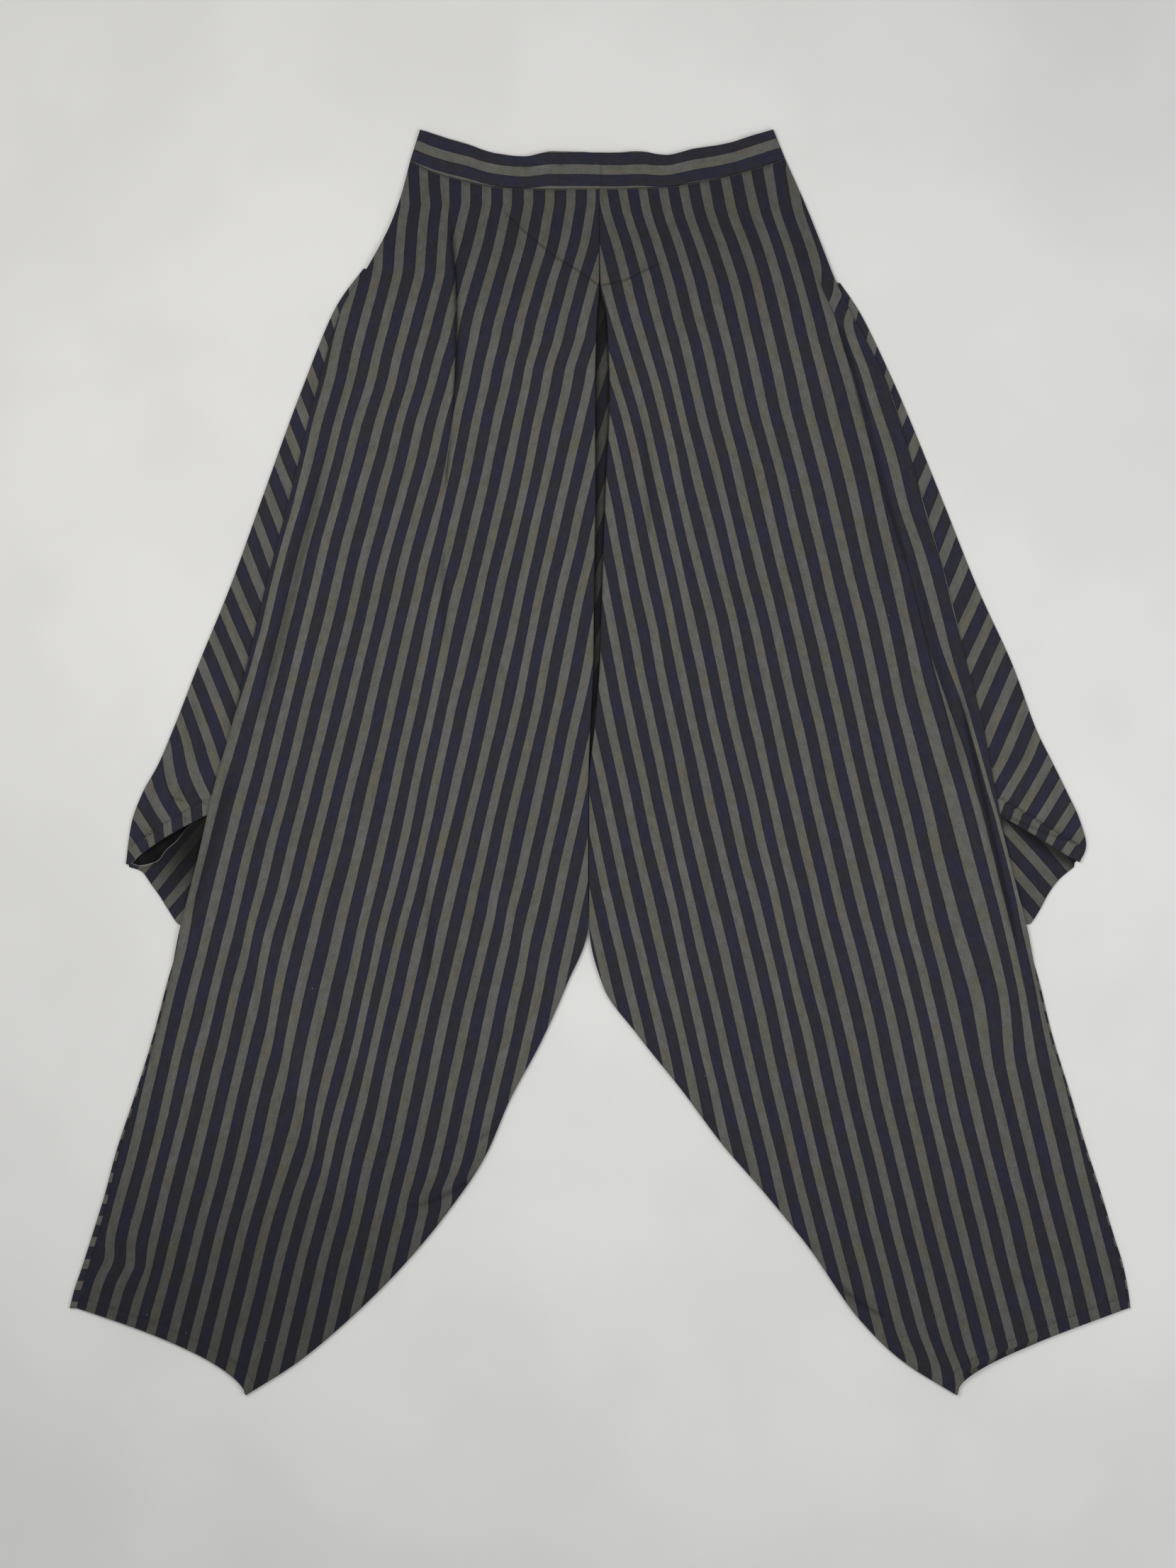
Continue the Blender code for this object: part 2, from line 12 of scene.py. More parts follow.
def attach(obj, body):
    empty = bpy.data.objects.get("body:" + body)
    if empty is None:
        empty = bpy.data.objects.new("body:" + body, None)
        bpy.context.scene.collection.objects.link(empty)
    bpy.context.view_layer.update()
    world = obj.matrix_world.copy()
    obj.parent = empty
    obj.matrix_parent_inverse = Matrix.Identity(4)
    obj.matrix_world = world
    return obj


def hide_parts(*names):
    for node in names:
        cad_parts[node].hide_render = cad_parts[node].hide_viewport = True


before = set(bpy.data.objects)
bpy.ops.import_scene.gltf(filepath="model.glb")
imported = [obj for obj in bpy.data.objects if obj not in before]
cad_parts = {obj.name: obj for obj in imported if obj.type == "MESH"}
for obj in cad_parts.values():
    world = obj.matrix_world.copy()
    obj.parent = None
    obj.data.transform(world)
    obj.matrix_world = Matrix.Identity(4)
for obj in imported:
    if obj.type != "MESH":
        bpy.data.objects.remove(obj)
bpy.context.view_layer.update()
print("frame loaded:", len(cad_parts), "nodes")

mm = 0.001
leftSide, rightSide = -1, 1

# What the layers of cloth share: the wall, the radii of the turned edges, the levels that the
# layers lie at and the width of the stripes' repeat
layers = {
    "wall": 0.7,
    "turnRadius": 0.9,
    "edgeRadius": 0.7,
    "backLevel": 0.6,
    "secondLevel": 2.1,
    "layLevel": 3.2,
    "wingTuck": 3.0,
    "stripeRepeat": 18.0,
}
halfWall = layers["wall"] / 2


# Reading tables and lines
def blendTo(a, b, t):
    return a + (b - a) * t


def smooth(t):
    t = np.clip(t, 0.0, 1.0)
    return t * t * (3 - 2 * t)


def shelf(distance, flat, run):
    # 1 up to the flat's end, then a smooth fall to 0 over the run
    return 1 - smooth((distance - flat) / run)


def bump(distance, halfWidth):
    # 1 in the middle, falling to a ninth at the half width
    return np.exp(-2.2 * (distance / halfWidth) ** 2)


def risen(value, start, run):
    # 0 up to the start, then a smooth rise to 1 over the run
    return smooth((value - start) / run)


def readTable(table, at, key=None):
    # A smooth row between the table's rows, by a key column or by the share of its length
    data = np.array(table, float)
    keys = np.linspace(0, 1, len(data))
    if key:
        keys = data[:, table[0]._fields.index(key)]
    if keys[0] > keys[-1]:
        data, keys = data[::-1], keys[::-1]
    step = np.diff(keys)[:, None]
    rise = np.diff(data, axis=0) / step
    product, total = rise[:-1] * rise[1:], rise[:-1] + rise[1:]
    inner = np.where(product > 0, 2 * product / np.where(total == 0, 1, total), 0)
    slopes = np.vstack([rise[:1], inner, rise[-1:]])
    at = np.clip(at, keys[0], keys[-1])
    k = np.clip(np.searchsorted(keys, at, side="right") - 1, 0, len(keys) - 2)
    h = step[k]
    f = (at - keys[k])[..., None] / h
    values = (data[k] * (1 + 2 * f) * (1 - f) ** 2 + data[k + 1] * f * f * (3 - 2 * f)
              + slopes[k] * h * f * (1 - f) ** 2 - slopes[k + 1] * h * f * f * (1 - f))
    return type(table[0])(*np.moveaxis(values, -1, 0))


def bentLine(x1, y1, x2, y2, x3, y3, steps=12):
    # Points on a curve from its start, pulled towards its bend, to its end
    t = np.linspace(0, 1, steps + 1)
    x = (1 - t) ** 2 * x1 + 2 * t * (1 - t) * x2 + t * t * x3
    y = (1 - t) ** 2 * y1 + 2 * t * (1 - t) * y2 + t * t * y3
    return np.stack((x, y), 1)


def nearLine(points, x, y):
    # How far each place is from a line, which side it is on, and how far along the line
    points = np.array(points, float)
    runs = np.hypot(*np.diff(points, axis=0).T)
    nearest = np.full(np.shape(x), 1e9)
    signed, share = np.zeros(np.shape(x)), np.zeros(np.shape(x))
    done = 0.0
    for (ax, ay), (bx, by), run in zip(points, points[1:], runs):
        dx, dy = (bx - ax) / run, (by - ay) / run
        s = np.clip((x - ax) * dx + (y - ay) * dy, 0, run)
        px, py = x - ax - dx * s, y - ay - dy * s
        away = np.hypot(px, py)
        closer = away < nearest
        signed = np.where(closer, np.copysign(away, dx * py - dy * px), signed)
        share = np.where(closer, (done + s) / runs.sum(), share)
        nearest = np.where(closer, away, nearest)
        done += run
    return signed, share


# A soft fold: its start, bend and end, the height of its crest (a trough is below zero), half
# its width, and how much steeper it is on its right side than on its left
Crease = namedtuple("Crease", "x1 y1 x2 y2 x3 y3 height halfWidth lean")

# A painted shadow along a deep fold (or, below zero, a painted highlight on its crest): its start,
# bend and end, its strength and half its width
Shadow = namedtuple("Shadow", "x1 y1 x2 y2 x3 y3 dark halfWidth")


# How steeply each kind of line fades in from its ends, as 1 over the share of its length, and
# how much a soft fold draws the stripes together
fades = {"crease": 5, "gatherStart": 3, "gatherEnd": 5, "shadow": 6, "line": 12,
         "stripePull": 0.06}


def endFade(share, steepness, endSteepness=None):
    # 0 at the two ends of a line and 1 along its middle
    return smooth(share * steepness) * smooth((1 - share) * (endSteepness or steepness))


def creaseHeight(creases, x, y):
    # The height of all soft folds, and how far each draws the stripes together, in repeats
    total, drawn = np.zeros(np.shape(x)), np.zeros(np.shape(x))
    for crease in creases:
        signed, share = nearLine(bentLine(*crease[:6]), x, y)
        width = crease.halfWidth * np.where(signed < 0, 1 - crease.lean, 1 + crease.lean)
        ends = endFade(share, fades["crease"])
        total += crease.height * bump(signed, width) * ends
        if abs(crease.y1 - crease.y3) > abs(crease.x1 - crease.x3):    # it runs lengthwise
            pull = signed / width * np.exp(-(signed / width) ** 2) * ends
            drawn += fades["stripePull"] * abs(crease.height) * pull
    return total, drawn


# Where a narrow crest draws the stripes together: its start, bend and end, how much, half its
# width and how far it moves the stripe on its top, in repeats
Gather = namedtuple("Gather", "x1 y1 x2 y2 x3 y3 amount halfWidth shift")


def gatherStripes(gathers, x, y):
    total = np.zeros(np.shape(x))
    for gather in gathers:
        signed, share = nearLine(bentLine(*gather[:6]), x, y)
        place = signed / gather.halfWidth
        ends = endFade(share, fades["gatherStart"], fades["gatherEnd"])
        total += (gather.amount * place + gather.shift) * np.exp(-place ** 2) * ends
    return total


def shadowTone(shadows, x, y):
    tone = np.ones(np.shape(x))
    for shadow in shadows:
        signed, share = nearLine(bentLine(*shadow[:6]), x, y)
        ends = endFade(share, fades["shadow"])
        tone *= 1 - shadow.dark * bump(signed, shadow.halfWidth) * ends
    return tone


def nearestOf(lines, x, y):
    # The signed distance from the nearest of some lines, and how strongly it shows there
    farAway, reach, run = 60.0, 6, 4
    nearest, strength = np.full(np.shape(x), farAway), np.zeros(np.shape(x))
    for points in lines:
        signed, share = nearLine(points, x, y)
        closer = np.abs(signed) < np.abs(nearest)
        shows = endFade(share, fades["line"]) * shelf(np.abs(signed), reach, run)
        nearest = np.where(closer, signed, nearest)
        strength = np.where(closer, shows, strength)
    return nearest, strength


# The cloth material
class Wire:
    # One socket in a material. Sums and products of wires add their own Math nodes.
    def __init__(self, tree, socket=None):
        self.tree, self.socket = tree, socket

    def node(self, kind, settings=None, values=None, output=0):
        made = self.tree.nodes.new(kind)
        for name, value in (settings or {}).items():
            setattr(made, name, value)
        for name, value in (values or {}).items():
            if isinstance(value, Wire):
                self.tree.links.new(value.socket, made.inputs[name])
            else:
                made.inputs[name].default_value = value
        return Wire(self.tree, made.outputs[output])

    def other(self, output):
        return Wire(self.tree, self.socket.node.outputs[output])

    def maths(self, operation, first, second=0.0):
        return self.node("ShaderNodeMath", {"operation": operation}, {0: first, 1: second})

    def __add__(self, value):
        return self.maths("ADD", self, value)

    __radd__ = __add__

    def __sub__(self, value):
        return self.maths("SUBTRACT", self, value)

    def __rsub__(self, value):
        return self.maths("SUBTRACT", value, self)

    def __mul__(self, value):
        return self.maths("MULTIPLY", self, value)

    __rmul__ = __mul__

    def __abs__(self):
        return self.maths("ABSOLUTE", self)

    def __mod__(self, value):
        return self.maths("FLOORED_MODULO", self, value)

    def sine(self):
        return self.maths("SINE", self)

    def ramp(self, low, high):
        # 0 at low, 1 at high, and a soft step between them
        return self.node("ShaderNodeMapRange", {"interpolation_type": "SMOOTHSTEP"},
                         {"Value": self, "From Min": low, "From Max": high})

    def tint(self, first, second):
        # The first colour where this wire is 0, and the second mixed in where it is 1
        return self.node("ShaderNodeMix", {"data_type": "RGBA"},
                         {0: self, 6: first, 7: second}, output=2)

    def noise(self, scale, detail=2.0, roughness=0.5):
        return self.node("ShaderNodeTexNoise", {"noise_dimensions": "2D"},
                         {"Vector": self, "Scale": scale, "Detail": detail, "Roughness": roughness})


def srgb(red, green, blue):
    # A colour as a paint program shows it, 0 to 255, as the shader's linear values
    shares = [value / 255 for value in (red, green, blue)]
    return [s / 12.92 if s < 0.04045 else ((s + 0.055) / 1.055) ** 2.4 for s in shares] + [1.0]


def newMaterial(name, roughness, sheen=0.0):
    material = bpy.data.materials.new(name)
    material.use_nodes = True
    shader = material.node_tree.nodes["Principled BSDF"]
    shader.inputs["Roughness"].default_value = roughness
    shader.inputs["Sheen Weight"].default_value = sheen
    shader.inputs["Sheen Roughness"].default_value = 0.45
    shader.inputs["Specular IOR Level"].default_value = 0.25
    return material, shader, Wire(material.node_tree)


stripedCotton = {
    "navyGrey": srgb(39, 38, 44),
    "navyBlue": srgb(37, 37, 55),
    "oliveGreen": srgb(89, 90, 82),
    "oliveGrey": srgb(93, 92, 89),
    "oliveBrown": srgb(94, 90, 79),
    "lipHighlight": srgb(112, 110, 106),
    "lipHighlightTones": (1.35, 1.9),    # a tone past these paints a pale highlight on a lip's edge
    "brightest": 1.2,            # the most that any other tone lightens the cloth
    "oliveShare": 0.44,          # of each stripe repeat
    "edgeSoft": 0.018,           # this and the next four in repeats
    "edgeWobble": 0.03,
    "wander": 0.14,
    "edgeAway": 0.03,
    "edgeWidth": 0.045,
    "edgeDark": 0.30,
    "threadsPerRepeat": 34,
    "weave": 0.03,
    "mottle": 0.19,
    "grain": 0.24,
    "streaks": 0.09,
    "specks": 0.40,
    "pressed": 0.50,             # how dark a pressed or stitched line is painted, as shade in its groove
    "pressedWidth": (1.9, 0.2),
    "roughness": 0.86,
    "roughnessGrain": 0.16,
    "sheen": 0.12,
    "bump": {"Strength": 0.45, "Distance": 0.00035},
    "relief": {"weave": 0.35, "grain": 0.6, "streaks": 0.35, "olive": 0.25, "pressed": 1.2},
}

# Patchy noise on the cloth: its size across and along it in millimetres, how fine and rough it
# is, and the values at which a patch begins and is full
Patch = namedtuple("Patch", "across along detail roughness begins full")

cottonPatches = {
    "blue": Patch(13.0, 26.0, 3.0, 0.6, 0.38, 0.66),
    "brown": Patch(12.0, 20.0, 2.0, 0.6, 0.46, 0.74),
    "green": Patch(24.0, 40.0, 2.0, 0.5, 0.35, 0.65),
    "mottle": Patch(6.0, 9.0, 3.0, 0.6, 0.3, 0.7),
    "streaks": Patch(0.8, 14.0, 2.0, 0.5, 0.3, 0.7),
    "grain": Patch(0.9, 1.2, 3.0, 0.7, 0.28, 0.72),
    "specks": Patch(1.5, 2.0, 2.0, 0.6, 0.66, 0.76),
}
edgeWobble = Patch(2.4, 2.0, 3.0, 0.6, 0, 1)
stripeWander = Patch(48.0, 90.0, 1.0, 0.5, 0, 1)


def makeCotton():
    look = stripedCotton
    material, shader, start = newMaterial("stripedCotton", look["roughness"], look["sheen"])
    uv = start.node("ShaderNodeSeparateXYZ", values={
        "Vector": start.node("ShaderNodeUVMap", {"uv_map": "cloth"})})
    across, along = uv, uv.other("Y")
    tone, line, lineShows = [
        start.node("ShaderNodeAttribute", {"attribute_name": name}, output=2)
        for name in ("tone", "line", "lineShows")]
    repeat = layers["stripeRepeat"]

    def noiseOn(patch):
        place = start.node("ShaderNodeCombineXYZ", values={
            "X": across * (repeat / patch.across), "Y": along * (repeat / patch.along)})
        return place.noise(1.0, patch.detail, patch.roughness)

    wobble, wander = noiseOn(edgeWobble), noiseOn(stripeWander)
    place = across + (wobble - 0.5) * look["edgeWobble"] + (wander - 0.5) * look["wander"]
    fromCentre = abs((place + 0.5) % 1.0 - 0.5)
    half = look["oliveShare"] / 2
    olive = fromCentre.ramp(half + look["edgeSoft"], half - look["edgeSoft"])
    edge = abs(fromCentre - (half + look["edgeAway"])).ramp(look["edgeWidth"], 0.0)
    blue, brown, green, mottle, streaks, grain, specks = [
        noiseOn(patch).ramp(patch.begins, patch.full) for patch in cottonPatches.values()]
    threads = 2 * math.pi * look["threadsPerRepeat"]
    weave = (across * threads).sine() * (along * threads).sine()
    navy = blue.tint(look["navyGrey"], look["navyBlue"])
    pale = brown.tint(green.tint(look["oliveGrey"], look["oliveGreen"]), look["oliveBrown"])
    colour = tone.ramp(*look["lipHighlightTones"]).tint(olive.tint(navy, pale), look["lipHighlight"])
    pressed = abs(line).ramp(*look["pressedWidth"]) * lineShows
    uneven = (1.0 + (streaks - 0.5) * look["streaks"] + (grain - 0.5) * look["grain"]
              + (mottle - 0.5) * look["mottle"] + weave * look["weave"])
    # the tone attribute paints shade and highlights; the rest is the cloth's own unevenness
    light = tone.maths("MINIMUM", tone, look["brightest"]) * uneven
    light = light * (1.0 - edge * look["edgeDark"]) * (1.0 - specks * look["specks"])
    # painted shade in the grooves of pressed and sewn lines
    light = light * (1.0 - pressed * look["pressed"])
    shader.inputs["Base Color"].default_value = look["oliveGrey"]
    colour = start.node("ShaderNodeMix", {"data_type": "RGBA", "blend_type": "MULTIPLY"},
                        {0: 1.0, 6: colour, 7: light}, output=2)
    rough = (grain - 0.5) * look["roughnessGrain"] + look["roughness"]
    raised = look["relief"]
    relief = (weave * raised["weave"] + grain * raised["grain"] + streaks * raised["streaks"]
              + olive * raised["olive"] - pressed * raised["pressed"])
    bumped = start.node("ShaderNodeBump", values={**look["bump"], "Height": relief})
    for name, wire in (("Base Color", colour), ("Roughness", rough), ("Normal", bumped)):
        material.node_tree.links.new(wire.socket, shader.inputs[name])
    return material


cotton = makeCotton()
print("cloth material made")


# Making a piece of cloth
def clothPiece(name, columns, rows, place, node=None, wall=None):
    # A grid of cloth. place gives eight values for each point: x, y, z, the stripe and length
    # coordinates, the tone, which paints shade and highlights, the distance from a pressed or
    # stitched line and how strongly it shows. A piece without such lines gives the first six.
    bm = bmesh.new()
    bmesh.ops.create_grid(bm, x_segments=columns, y_segments=rows, size=0.5)
    bm.verts.ensure_lookup_table()
    i = np.array([round((vert.co.x + 0.5) * columns) for vert in bm.verts], float)
    j = np.array([round((vert.co.y + 0.5) * rows) for vert in bm.verts], float)
    zero = np.zeros(len(i))
    values = np.broadcast_arrays(*(tuple(place(i, j)) + (zero, zero))[:8], zero)
    x, y, z, across, along, *painted = values[:8]
    spots = np.stack((x, y, z), 1) * mm
    uvLayer = bm.loops.layers.uv.new("cloth")
    for vert, spot in zip(bm.verts, spots.tolist()):
        vert.co = spot
    for attribute, amounts in zip(("tone", "line", "lineShows"), painted):
        layer = bm.verts.layers.float.new(attribute)
        bm.verts.ensure_lookup_table()
        for vert, amount in zip(bm.verts, amounts.tolist()):
            vert[layer] = amount
    across, along = across.tolist(), along.tolist()
    for face in bm.faces:
        face.smooth = True
        for loop in face.loops:
            loop[uvLayer].uv = (across[loop.vert.index], along[loop.vert.index])
    mesh = bpy.data.meshes.new(name)
    bm.to_mesh(mesh)
    bm.free()
    piece = bpy.data.objects.new(name, mesh)
    bpy.context.scene.collection.objects.link(piece)
    solid = piece.modifiers.new("wall", "SOLIDIFY")
    solid.thickness = (wall or layers["wall"]) * mm
    solid.offset = 0.0
    mesh.materials.append(cotton)
    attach(piece, "root")
    if node:
        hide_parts(node)
    print("made", name)
    return piece


# One row for each section across a front panel, from the waist down to the hem: its inner and
# outer ends, how far the inner edge is turned under, and how far the middle bows up
Section = namedtuple("Section", "xIn yIn zIn xOut yOut zOut turned rise")

frontLeftRows = [
    Section(-0.75, 483.9, 4.2, -160.5, 508.5, 2.1, 8, 0),
    Section(-0.75, 459.0, 4.8, -168.0, 480.0, 2.7, 16, 0),
    Section(-0.75, 435.0, 5.4, -177.3, 454.5, 3.3, 28, 0),
    Section(-0.75, 401.7, 5.4, -197.1, 417.3, 4.2, 36, 0),
    Section(-2.7, 375.3, 5.4, -216.3, 387.3, 4.2, 40, 0),
    Section(-4.2, 309.3, 5.4, -240.9, 309.3, 4.2, 40, 0),
    Section(-3.9, 225.3, 5.4, -261.9, 225.3, 4.2, 40, 0),
    Section(-5.1, 147.3, 5.4, -282.9, 147.3, 4.2, 40, 0),
    Section(-5.7, 81.3, 5.4, -298.5, 81.3, 4.2, 40, 0),
    Section(-8.1, 32.1, 5.4, -310.5, 33.3, 4.8, 40, 0),
    Section(-9.8, -20.7, 5.4, -326.1, -20.7, 5.5, 36, 0),
    Section(-9.9, -74.7, 5.4, -340.5, -83.7, 5.2, 26, 0),
    Section(-10.2, -137.1, 5.1, -354.9, -139.5, 3.9, 8, 0),
    Section(-28.5, -188.7, 3.9, -366.9, -188.7, 2.4, 6, 0),
    Section(-50.1, -236.7, 3.9, -379.5, -236.7, 2.4, 6, 0),
    Section(-75.9, -284.7, 3.9, -394.5, -284.7, 2.4, 6, 0),
    Section(-96.9, -332.7, 3.9, -409.5, -330.0, 2.4, 6, 2),
    Section(-129.3, -380.7, 3.9, -419.1, -366.0, 2.4, 6, 5),
    Section(-169.5, -428.7, 3.9, -429.3, -399.0, 2.4, 6, 8),
    Section(-218.7, -476.7, 3.9, -438.9, -429.0, 2.4, 6, 10),
    Section(-255.9, -507.3, 3.9, -444.9, -446.7, 2.4, 6, 12),
    Section(-298.8, -534.7, 3.9, -448.7, -461.4, 2.4, 6, 13),
]

frontRightRows = [
    Section(-0.45, 483.9, 4.2, 156.3, 510.3, 2.1, 8, 0),
    Section(-0.45, 459.0, 4.8, 174.0, 470.0, 2.7, 16, 0),
    Section(-0.45, 435.0, 5.4, 187.5, 436.0, 3.7, 28, 0),
    Section(0.3, 401.7, 5.4, 199.5, 405.3, 4.2, 36, 0),
    Section(5.7, 375.3, 5.4, 210.9, 381.3, 4.2, 40, 0),
    Section(8.1, 309.3, 5.4, 243.3, 318.3, 4.2, 40, 0),
    Section(4.5, 225.3, 5.4, 271.5, 225.3, 4.2, 40, 0),
    Section(1.8, 147.3, 5.4, 294.3, 147.3, 4.2, 40, 0),
    Section(-0.3, 81.3, 5.4, 310.5, 81.3, 4.2, 40, 0),
    Section(-4.5, 32.1, 5.4, 324.3, 27.3, 5.0, 40, 0),
    Section(-9.4, -20.7, 5.4, 333.3, -20.7, 5.5, 36, 0),
    Section(-9.4, -74.7, 5.4, 344.1, -74.7, 5.2, 26, 0),
    Section(-9.3, -137.1, 5.1, 360.3, -137.7, 3.9, 8, 0),
    Section(2.4, -188.7, 3.9, 371.7, -185.7, 2.4, 6, 0),
    Section(32.1, -230.7, 3.9, 382.5, -230.7, 2.4, 6, 0),
    Section(68.1, -275.7, 3.9, 396.3, -275.7, 2.4, 6, 0),
    Section(104.1, -323.7, 3.9, 410.7, -323.7, 2.4, 6, 2),
    Section(140.1, -365.1, 3.9, 423.3, -362.7, 2.4, 6, 5),
    Section(176.1, -409.5, 3.9, 434.1, -398.7, 2.4, 6, 8),
    Section(218.1, -469.5, 3.9, 442.5, -425.7, 2.4, 6, 10),
    Section(254.1, -504.9, 3.9, 446.7, -446.7, 2.4, 6, 11),
    Section(300.9, -534.7, 3.9, 448.7, -461.4, 2.4, 6, 12),
]

# The waistband: its top edge and its seam with the fronts
BandPoint = namedtuple("BandPoint", "xTop yTop xBottom yBottom")

waistbandPoints = [
    BandPoint(-152.1, 534.9, -160.5, 509.0),
    BandPoint(-135.9, 529.5, -141.0, 499.0),
    BandPoint(-111.9, 522.3, -114.0, 491.5),
    BandPoint(-87.9, 514.5, -89.0, 486.6),
    BandPoint(-63.9, 512.1, -64.0, 484.9),
    BandPoint(-39.9, 516.3, -40.0, 484.4),
    BandPoint(-15.9, 515.7, -16.0, 484.6),
    BandPoint(8.1, 515.1, 8.0, 484.7),
    BandPoint(32.1, 516.3, 32.0, 485.4),
    BandPoint(56.1, 513.3, 56.0, 486.4),
    BandPoint(80.1, 518.7, 81.0, 490.3),
    BandPoint(104.1, 522.3, 108.0, 495.6),
    BandPoint(128.1, 529.5, 136.0, 503.4),
    BandPoint(146.1, 534.9, 156.3, 510.8),
]

# Where the olive stripes of a front lie at a height: the first one's middle, the spacing of
# the next ones and how much the spacing grows
StripeRow = namedtuple("StripeRow", "y first spacing growth")

stripesLeft = [
    StripeRow(471, -202, 17.7, 0),
    StripeRow(435, -213, 18.1, 0),
    StripeRow(399, -222, 17.9, 0),
    StripeRow(363, -231, 17.9, 0),
    StripeRow(327, -235, 17.43, 0),
    StripeRow(285, -244.3, 17.42, 0),
    StripeRow(225, -257.5, 17.4, 0),
    StripeRow(165, -271.5, 17.4, 0),
    StripeRow(45, -301.5, 17.7, 0),
    StripeRow(-75, -333, 18.0, 0),
    StripeRow(-195, -363.5, 18.25, 0),
    StripeRow(-315, -392, 18.4, 0),
    StripeRow(-435, -423, 18.6, 0),
    StripeRow(-530, -448, 18.8, 0),
]

stripesRight = [
    StripeRow(500, -46, 15.0, 0.19),
    StripeRow(471, -44.6, 15.8, 0.155),
    StripeRow(435, -37.1, 16.8, 0.10),
    StripeRow(399, -29.2, 17.6, 0.045),
    StripeRow(363, -19.1, 17.4, 0.055),
    StripeRow(327, -6.1, 16.1, 0.15),
    StripeRow(285, 7.7, 15.1, 0.21),
    StripeRow(225, 20.5, 15.7, 0.17),
    StripeRow(165, 33, 16.4, 0.12),
    StripeRow(105, 45.5, 17.1, 0.07),
    StripeRow(45, 58, 17.3, 0.06),
    StripeRow(-75, 84.5, 17.6, 0.05),
    StripeRow(-195, 113, 17.8, 0.05),
    StripeRow(-315, 140.5, 17.8, 0.045),
    StripeRow(-435, 171, 17.6, 0.06),
    StripeRow(-530, 196, 17.5, 0.06),
]

# The fold in each front whose outer part lies over the inner one, from the waist down: its
# edge and how much cloth it hides. Where it hides nothing it is only a line in the grid.
Overlap = namedtuple("Overlap", "y x hidden")

overlapLeft = [
    Overlap(500, -130.5, 0), Overlap(460, -127.3, 3), Overlap(432, -124.6, 7.5),
    Overlap(406, -122.1, 12), Overlap(373, -121.5, 12), Overlap(336, -122.7, 8),
    Overlap(293, -124.5, 5),
    Overlap(256, -129.9, 4), Overlap(225, -134, 2.4), Overlap(165, -140, 0),
    Overlap(60, -160, 0), Overlap(-100, -190, 0), Overlap(-230, -230, 0),
    Overlap(-350, -290, 0), Overlap(-440, -345, 0), Overlap(-540, -376, 0),
]

overlapRight = [
    Overlap(515, 130, 0), Overlap(471, 158, 0), Overlap(425, 178, 0),
    Overlap(400, 188, 6), Overlap(366, 203.1, 24), Overlap(309, 218.1, 24),
    Overlap(255, 233.1, 20), Overlap(219, 243.3, 18), Overlap(165, 260.1, 12),
    Overlap(105, 275.7, 8.6), Overlap(45, 291.3, 5), Overlap(-15, 308, 3),
    Overlap(-51, 318, 0), Overlap(-150, 338, 0), Overlap(-300, 378, 0),
    Overlap(-440, 412, 0), Overlap(-540, 418, 0),
]

creasesLeft = [
    Crease(-190, 405, -232, 290, -288, 40, -1.0, 10, 0),
    Crease(-206, 330, -234, 200, -272, 30, 1.6, 12, 0.3),
    Crease(-140, 190, -132, 20, -146, -180, 1.6, 22, -0.2),
    Crease(-60, 380, -70, 200, -56, 20, 1.2, 20, 0.3),
    Crease(-310, -100, -262, -250, -212, -400, 2.2, 22, 0.35),
    Crease(-352, -210, -366, -300, -384, -400, 1.6, 16, 0.2),
    Crease(-98, -110, -62, -150, -50, -200, 1.2, 14, 0.2),
    Crease(-210, -20, -190, -190, -205, -330, 1.2, 24, 0.2),
    Crease(-135, 178, -131, 140, -132, 105, -0.8, 6, 0.2),
    Crease(-148, -92, -143, -140, -144, -184, -0.9, 7, 0.2),
    Crease(-162, -374, -130, -372, -100, -339, -1.0, 7, 0.3),
    Crease(-186, 456, -170, 446, -158, 434, -0.8, 5, 0.2),
    Crease(-420, -402, -408, -408, -394, -418, -0.6, 4, 0),
    Crease(-412, -420, -404, -426, -392, -430, 0.6, 4, 0),
    Crease(-88, 300, -100, 160, -96, 40, -0.5, 9, 0.2),
    Crease(-240, -220, -236, -300, -262, -380, -0.7, 10, 0.3),
    Crease(-318, 10, -332, -60, -346, -130, -0.8, 8, 0.2),
    Crease(-60, -210, -90, -270, -108, -330, 0.8, 12, 0.2),
]

creasesRight = [
    Crease(200, 372, 232, 250, 268, 60, -0.8, 12, 0),
    Crease(214, 372, 240, 250, 272, 120, 1.6, 12, 0),
    Crease(256, 190, 280, 90, 306, 0, 1.4, 10, -0.3),
    Crease(136, 496, 152, 430, 176, 372, 1.6, 10, 0.3),
    Crease(300, 10, 335, -100, 372, -260, 1.6, 12, -0.3),
    Crease(60, -20, 68, -150, 74, -240, 1.8, 14, 0.3),
    Crease(136, 20, 146, -80, 166, -240, 1.6, 18, -0.3),
    Crease(56, 380, 72, 240, 62, 60, 1.4, 20, -0.3),
    Crease(230, -40, 262, -200, 300, -380, 1.4, 26, 0.2),
    Crease(36, 290, 42, 240, 41, 190, -0.8, 7, 0.2),
    Crease(212, -446, 226, -462, 240, -470, -0.8, 6, 0),
    Crease(100, 260, 118, 130, 122, 10, -0.6, 10, 0.2),
    Crease(330, -250, 352, -330, 380, -410, -0.7, 9, 0.2),
    Crease(30, -160, 60, -220, 110, -290, 0.9, 13, 0.2),
    Crease(176, -120, 190, -230, 226, -330, -0.8, 12, -0.2),
    Crease(301, 56, 329, -60, 356, -166, -1.6, 5.5, 0),
    Crease(310, 40, 336, -50, 362, -144, 1.3, 5, 0),
]

